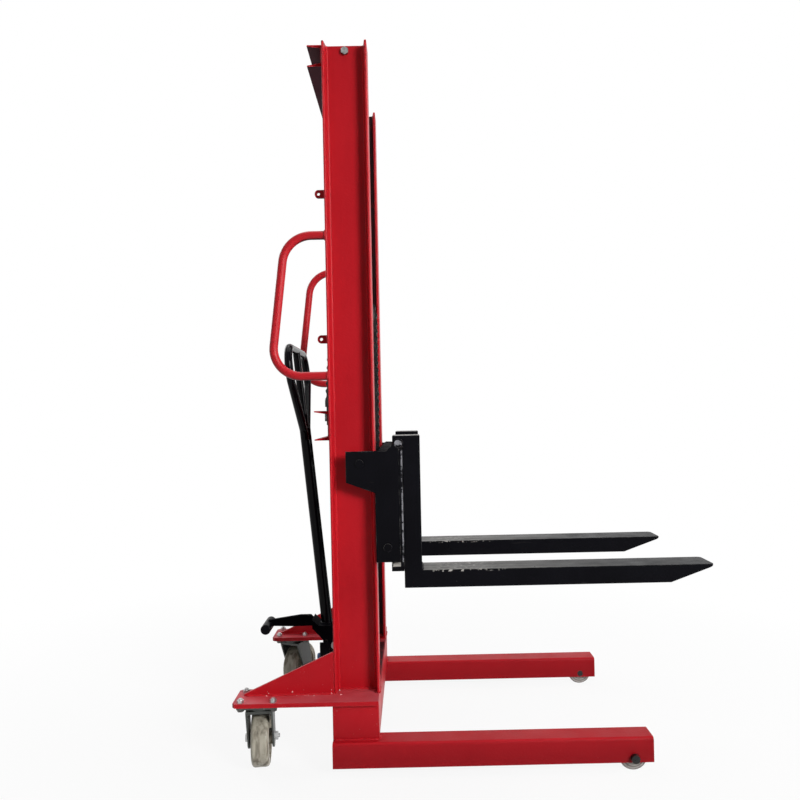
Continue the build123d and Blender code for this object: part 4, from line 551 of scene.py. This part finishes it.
# links between neighbouring pins, wide and narrow by turns, shared out over the three runs by arc length
def buildChain():
    total = upRun + overRun + chainPath["sheaveZ"] - chainPath["lowRear"]
    # both end links sit in their anchors
    firstS, lastS = chainPath["firstPin"], total - chainPath["lastPin"]
    pinS = np.linspace(firstS, lastS, round((lastS - firstS) / chainPath["pitch"]) + 1)
    pins = chainAt(pinS)
    centres = (pins[1:] + pins[:-1]) / 2
    headings = pins[1:] - pins[:-1]
    headings /= np.linalg.norm(headings, axis=1, keepdims=True)
    midS = (pinS[1:] + pinS[:-1]) / 2
    odd = np.arange(len(midS)) % 2 == 1
    sideY = np.where(odd, chainLink["outerY"], chainLink["innerY"]) - chainLink["plate"] / 2
    made = {}
    zones = {"chainFront": (0.0, upRun), "chainOver": (upRun, upRun + overRun),
             "chainRear": (upRun + overRun, total)}
    for name, (low, high) in zones.items():
        pick = (midS >= low) & (midS < high)
        pinPick = (pinS >= low) & (pinS < high)
        plates = [chainPlates(centres[pick], headings[pick], s * sideY[pick]) for s in (-1, 1)]
        verts, faces = solidsFrom(np.concatenate(plates))
        pinVerts, pinFaces = solidsFrom(chainPins(pins[pinPick]))
        faces = faces + [[v + len(verts) for v in f] for f in pinFaces]
        made[name] = addPiece(name, np.concatenate([verts, pinVerts]), faces, "chain_steel", smooth=False)
    return made


chain = buildChain()
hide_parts("chain_front_run")
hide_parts("chain_wrap")
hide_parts("chain_rear_run")
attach(chain["chainOver"], "plunger")
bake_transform(chain["chainFront"])
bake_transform(chain["chainRear"])
print("chain built")

# welds: a round bead carried along a line, its radius rippling as the arc steps and fading at both ends
weldBead = {"radius": 0.0038, "ripple": 0.16, "wander": 0.1, "step": 0.0034, "perStep": 3, "around": 8,
            "thinEnd": 0.12, "fadeRadii": 1.5, "fewestRings": 8, "fewestKnots": 4, "ringsPerKnot": 6,
            "offAxis": (0.3, 0.5, 0.8), "seed": 11}
weldRandom = np.random.default_rng(weldBead["seed"])


# two unit directions square to the heading
def squareTo(heading):
    side = np.cross(heading, weldBead["offAxis"])
    side /= np.linalg.norm(side)
    return side, np.cross(heading, side)


# bead on a line: rings of radius x (1 + ripple |sin| + slow wander) x root of the fade towards each end
def beadAlong(start, end, radius=weldBead["radius"]):
    start, end = np.array(start, float), np.array(end, float)
    length = np.linalg.norm(end - start)
    count = max(weldBead["fewestRings"], int(length / weldBead["step"] * weldBead["perStep"]))
    t = np.linspace(0.0, 1.0, count)
    side, other = squareTo((end - start) / length)
    knots = max(weldBead["fewestKnots"], count // weldBead["ringsPerKnot"])
    wander = np.interp(t, np.linspace(0, 1, knots), weldRandom.normal(0.0, weldBead["wander"], knots))
    ripple = 1.0 + weldBead["ripple"] * np.abs(np.sin(math.pi * t * length / weldBead["step"])) + wander
    fromEnd = np.minimum(t, 1.0 - t) * length
    fade = np.clip(fromEnd / (weldBead["fadeRadii"] * radius), weldBead["thinEnd"], 1.0)
    size = radius * ripple * np.sqrt(fade)
    turn = np.linspace(0.0, 2 * math.pi, weldBead["around"], endpoint=False)
    ring = np.cos(turn)[:, None] * side + np.sin(turn)[:, None] * other
    return start + (end - start) * t[:, None, None] + ring[None] * size[:, None, None]


# bead round a bar that meets a plate: the same ripple, a whole number of times, carried round a circle
def beadRound(centre, axis, barRadius, radius):
    axis = np.array(axis, float)
    side, other = squareTo(axis)
    ripples = round(2 * math.pi * barRadius / weldBead["step"])
    t = np.linspace(0.0, 2 * math.pi, ripples * weldBead["perStep"], endpoint=False)
    size = radius * (1.0 + weldBead["ripple"] * np.abs(np.sin(t / 2 * ripples)))[:, None, None]
    spoke = (np.cos(t)[:, None] * side + np.sin(t)[:, None] * other)[:, None]
    turn = np.linspace(0.0, 2 * math.pi, weldBead["around"], endpoint=False)[None, :, None]
    outward = spoke * (barRadius + size * np.cos(turn))
    return np.array(centre, float) + outward - axis * (size * np.sin(turn))


# all beads of one body in one piece: lines are start, end and maybe a radius, rounds are centre, axis,
# the bar's radius and the bead's
def buildWelds(name, body, slotName, lines, rounds=()):
    allVerts, allFaces, base = [], [], 0
    beads = [solidsFrom(beadAlong(*line)[None]) for line in lines]
    for one in rounds:
        bead = beadRound(*one)
        beads.append((bead.reshape(-1, 3), ringFaces(*bead.shape[:2], loop=True).tolist()))
    for verts, faces in beads:
        allVerts.append(verts)
        allFaces += [[v + base for v in f] for f in faces]
        base += len(verts)
    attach(addPiece(name, np.concatenate(allVerts), allFaces, slotName), body)


# the same lines again on the other side of the middle plane
def bothSides(lines):
    return list(lines) + [tuple((p[0], -p[1], p[2]) if isinstance(p, tuple) else p for p in line)
                          for line in lines]


floorPlateTop, beamTop, beamLow = 0.208, 0.196, 0.096
chassisWelds = bothSides([
    ((-0.065, -0.2905, floorPlateTop), (-0.065, -0.2145, floorPlateTop)),
    ((0.065, -0.2895, floorPlateTop), (0.065, -0.2405, floorPlateTop)),
    ((-0.055, -0.2555, floorPlateTop), (0.055, -0.2555, floorPlateTop)),
    ((-0.055, -0.2495, floorPlateTop), (0.055, -0.2495, floorPlateTop)),
    ((-0.064, -0.336, beamTop), (0.064, -0.336, beamTop)),
    ((-0.065, -0.345, beamTop), (-0.065, -0.242, beamTop)),
    ((0.065, -0.334, beamLow), (0.065, -0.300, beamLow)),
    ((-0.062, -0.336, beamLow), (0.062, -0.336, beamLow)),
    ((-0.318, -0.2905, floorPlateTop), (-0.069, -0.2905, floorPlateTop)),
    ((-0.318, -0.2825, floorPlateTop), (-0.069, -0.2825, floorPlateTop)),
    ((-0.065, -0.2825, 0.214), (-0.065, -0.2825, 0.325)),
    ((-0.065, -0.262, 2.0225), (-0.065, -0.216, 2.0225)),
    ((-0.065, -0.2625, 2.026), (-0.065, -0.2625, 2.081)),
    ((-0.065, -0.262, 0.9345), (-0.065, -0.216, 0.9345)),
    ((-0.065, -0.262, 1.0195), (-0.065, -0.216, 1.0195)),
    ((-0.065, -0.2625, 0.938), (-0.065, -0.2625, 1.016)),
    ((-0.065, -0.2555, 1.219), (-0.065, -0.2555, 1.239), 0.0026),
    ((-0.065, -0.2555, 1.643), (-0.065, -0.2555, 1.663), 0.0026),
    ((-0.065, -0.2495, 1.219), (-0.065, -0.2495, 1.239), 0.0026),
    ((-0.065, -0.2495, 1.643), (-0.065, -0.2495, 1.663), 0.0026),
])
barRounds = [((-0.0655, s * 0.2775, z), (1, 0, 0), 0.0125, 0.0028)
             for s in (-1, 1) for z in (1.121, 1.527)]
buildWelds("chassisWelds", "chassis", "red_paint", chassisWelds, barRounds)

carriageWelds = bothSides([
    ((0.134, -0.2925, 0.59), (0.134, -0.2925, 0.895)),
    ((0.074, -0.2925, 0.902), (0.102, -0.2925, 0.902), 0.003),
    ((0.074, -0.2925, 0.872), (0.102, -0.2925, 0.872), 0.003),
    ((0.134, -0.282, 0.7), (0.134, -0.226, 0.7), 0.003),
    ((0.134, -0.282, 0.74), (0.134, -0.226, 0.74), 0.003),
    ((0.134, -0.282, 0.58), (0.134, -0.226, 0.58), 0.003),
])
buildWelds("carriageWelds", "carriage", "black_paint", carriageWelds)
for side, s in (("right", -1), ("left", 1)):
    heel = [((0.1953, s * 0.178, 0.556), (0.1953, s * 0.280, 0.556), 0.0045)]
    buildWelds(f"forkHeelWeld.{side}", f"fork_{side}", "black_paint", heel)
rockerWelds = bothSides([
    ((-0.160, -0.007, 0.324), (-0.160, -0.007, 0.347), 0.003),
    ((-0.292, -0.007, 0.325), (-0.299, -0.007, 0.3375), 0.003),
    ((-0.1662, -0.0184, 0.9304), (-0.1686, -0.0184, 0.9553), 0.003),
    ((-0.1782, -0.0184, 0.9293), (-0.1806, -0.0184, 0.9541), 0.003),
])
tillerRounds = [((-0.1162, 0, 0.3312), (0, 0, 1), 0.0181, 0.003),
                ((-0.1756, 0, 0.9655), (-0.0932, 0, 0.9956), 0.012, 0.0025)]
buildWelds("rockerWelds", "rocker", "black_paint", rockerWelds, tillerRounds)


# spatter beside the base welds: low domes, each three shrinking rings on a flat spot of the plate or
# the gusset, bunched towards the mast and the weld by powers of an even draw
spatter = {"count": 14, "size": (0.0008, 0.0024), "around": 7, "seed": 5, "fromX": -0.315, "run": 0.27,
           "onPlate": 0.6, "nearest": 0.003, "reach": 0.012, "plateZ": 0.2081, "gussetY": -0.2905,
           "gussetX": -0.318, "gussetSlope": 0.46, "proud": 0.0001, "toMast": 0.5, "toWeld": 2.0,
           "rings": ((1.0, -0.2), (0.85, 0.45), (0.4, 0.8))}
# painted highlight: the spatter's near-white pink tones stand in for glints
spatterGlint = makeMoulded("spatterGlint", (0.62, 0.26, 0.27), (0.9, 0.72, 0.7), (0.5, 0.12, 0.13),
                           0.25, 0.4, 200.0)


def buildSpatter():
    rng = np.random.default_rng(spatter["seed"])
    count = spatter["count"]
    along = spatter["fromX"] + spatter["run"] * rng.random(count) ** spatter["toMast"]
    onPlate = rng.random(count) < spatter["onPlate"]
    away = spatter["nearest"] + spatter["reach"] * rng.random(count) ** spatter["toWeld"]
    footY = spatter["gussetY"] - np.where(onPlate, away, spatter["proud"])
    footZ = spatter["plateZ"] + np.where(onPlate, 0.0, away)
    foot = np.stack([along, footY, footZ], -1)
    gussetRise = spatter["gussetSlope"] * (along - spatter["gussetX"])
    keepSpot = onPlate | (away < gussetRise)  # none past the gusset's sloping edge
    foot, onPlate = foot[keepSpot][:, None, None], onPlate[keepSpot][:, None, None, None]
    size = rng.uniform(*spatter["size"], len(foot))[:, None, None, None]
    turn = np.linspace(0.0, 2 * math.pi, spatter["around"], endpoint=False)
    r, h = np.array(spatter["rings"]).T[:, :, None]
    rings = np.stack([r * np.cos(turn), r * np.sin(turn), h + 0.0 * turn], -1)
    upright = np.stack([rings[..., 0], -rings[..., 2], rings[..., 1]], -1)
    domes = foot + np.where(onPlate, rings[None], upright[None]) * size
    both = np.concatenate([domes, (domes * (1, -1, 1))[:, :, ::-1]])
    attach(addPiece("weldSpatter", *solidsFrom(both), "red_paint", finish=spatterGlint), "chassis")


buildSpatter()
print("welds laid")

# rounded corners on the fabricated plates: merge the loose triangles, join flat ones, then bevel
edgeRounding = {"mast_upright_right": 0.0022, "mast_upright_left": 0.0022, "base_plates": 0.0014,
                "base_gussets": 0.0012, "base_crossbeam": 0.0015, "base_end_plates": 0.0015,
                "carriage_plate_right": 0.001, "carriage_plate_left": 0.001, "carriage_straps": 0.001,
                "carriage_crossbars": 0.0012, "fork_right": 0.0018, "fork_left": 0.0018,
                "mast_cross_channels": 0.0014, "pump_body": 0.0016, "lower_fork_bar": 0.0012,
                "caster_top_plates": 0.0008, "rocker_yoke": 0.0014, "pedal_arm": 0.0014,
                "cylinder_foot": 0.0012, "leg_right": 0.0012, "leg_left": 0.0012,
                "caster_yoke_right": 0.001, "caster_yoke_left": 0.001}
cornerRule = {"mergeWithin": 0.00002, "flatDeg": 0.5, "segments": 2, "cornerDeg": 40, "flatWeight": 80}
for nodeName, width in edgeRounding.items():
    steps = nodes[nodeName].modifiers
    merge = steps.new("mergeCorners", "WELD")
    merge.merge_threshold = cornerRule["mergeWithin"]
    flatten = steps.new("joinFlats", "DECIMATE")
    flatten.decimate_type = "DISSOLVE"
    flatten.angle_limit = math.radians(cornerRule["flatDeg"])
    roundOff = steps.new("roundCorners", "BEVEL")
    roundOff.width, roundOff.segments = width, cornerRule["segments"]
    roundOff.limit_method = "ANGLE"
    roundOff.angle_limit = math.radians(cornerRule["cornerDeg"])
    settle = steps.new("flatFaceShading", "WEIGHTED_NORMAL")
    settle.weight = cornerRule["flatWeight"]
print("corners rounded:", len(edgeRounding))

# studio: pale floor that runs to white, and soft lights from the front right, the left, behind and above
studio = {"floor": 14.0, "floorTone": (0.72, 0.72, 0.72), "floorRough": 0.9, "shadowFade": (0.5, 2.2),
          "whiteShare": (0.9, 1.0), "worldStrength": 0.06}
floorVerts = np.array([[-1, -1, 0], [1, -1, 0], [1, 1, 0], [-1, 1, 0]], float) * studio["floor"]
floorMesh = bpy.data.meshes.new("studioFloor")
floorMesh.from_pydata(floorVerts.tolist(), [], [[0, 1, 2, 3]])
floorObj = bpy.data.objects.new("studioFloor", floorMesh)
bpy.context.scene.collection.objects.link(floorObj)


# rays that look at the backdrop: from the camera, off gloss, or through something clear
def backdropRays(tree, paths):
    seen = paths.outputs["Is Camera Ray"]
    for ray in ("Is Glossy Ray", "Is Transmission Ray"):
        either = tree.nodes.new("ShaderNodeMath")
        either.operation = "MAXIMUM"
        tree.links.new(seen, either.inputs[0])
        tree.links.new(paths.outputs[ray], either.inputs[1])
        seen = either.outputs["Value"]
    return seen


floorMat, floorTree, floorShader, floorCoords = startFinish("paleFloor")
floorShader.inputs["Base Color"].default_value = (*studio["floorTone"], 1.0)
floorShader.inputs["Roughness"].default_value = studio["floorRough"]
glow = floorTree.nodes.new("ShaderNodeEmission")
paths = floorTree.nodes.new("ShaderNodeLightPath")
seen = backdropRays(floorTree, paths)
reach = floorTree.nodes.new("ShaderNodeVectorMath")
reach.operation = "LENGTH"
floorTree.links.new(floorCoords, reach.inputs[0])
# the shadow fades out into plain white away from the middle
whiter = spread(floorTree, reach.outputs["Value"], *studio["shadowFade"], *studio["whiteShare"])
floorMix = floorTree.nodes.new("ShaderNodeMixShader")
floorTree.links.new(product(floorTree, seen, whiter), floorMix.inputs["Fac"])
floorTree.links.new(floorShader.outputs["BSDF"], floorMix.inputs[1])
floorTree.links.new(glow.outputs["Emission"], floorMix.inputs[2])
floorTree.links.new(floorMix.outputs["Shader"], floorTree.nodes["Material Output"].inputs["Surface"])
floorMesh.materials.append(floorMat)

world = bpy.data.worlds.new("studioWorld")
bpy.context.scene.world = world
world.use_nodes = True
sky = world.node_tree.nodes["Background"]
sky.inputs["Color"].default_value = (1.0, 1.0, 1.0, 1.0)
skyPaths = world.node_tree.nodes.new("ShaderNodeLightPath")
skySeen = world.node_tree.nodes.new("ShaderNodeMapRange")
skySeen.inputs["To Min"].default_value = studio["worldStrength"]
skySeen.inputs["To Max"].default_value = 1.0
world.node_tree.links.new(backdropRays(world.node_tree, skyPaths), skySeen.inputs["Value"])
world.node_tree.links.new(skySeen.outputs["Result"], sky.inputs["Strength"])

lamps = {
    "keyLamp": {"place": (3.57, -4.14, 2.9), "aim": (0.1, 0.0, 0.95), "size": 1.8, "watts": 27.0,
                "spreadDeg": 48.0},
    "sideLamp": {"place": (3.2, -0.9, 1.5), "aim": (0.0, -0.2, 1.1), "size": 1.0, "watts": 24.0},
    "fillLamp": {"place": (-2.6, -2.4, 2.0), "aim": (0.0, 0.0, 0.9), "size": 2.6, "watts": 4.0},
    "backLamp": {"place": (-3.0, 2.8, 2.6), "aim": (0.0, 0.0, 0.9), "size": 2.4, "watts": 60.0},
    "topLamp": {"place": (0.2, 0.6, 4.6), "aim": (0.1, 0.0, 0.6), "size": 3.0, "watts": 70.0},
}
for lampName, lamp in lamps.items():
    light = bpy.data.lights.new(lampName, "AREA")
    light.energy, light.size = lamp["watts"], lamp["size"]
    light.spread = math.radians(lamp.get("spreadDeg", 180.0))
    lampObj = bpy.data.objects.new(lampName, light)
    lampObj.location = lamp["place"]
    x, y, z = np.array(lamp["aim"]) - np.array(lamp["place"])
    tilt, heading = math.atan2(math.hypot(x, y), -z), math.atan2(y, x) - math.pi / 2
    lampObj.rotation_euler = (tilt, 0.0, heading)
    bpy.context.scene.collection.objects.link(lampObj)
print("studio lit")
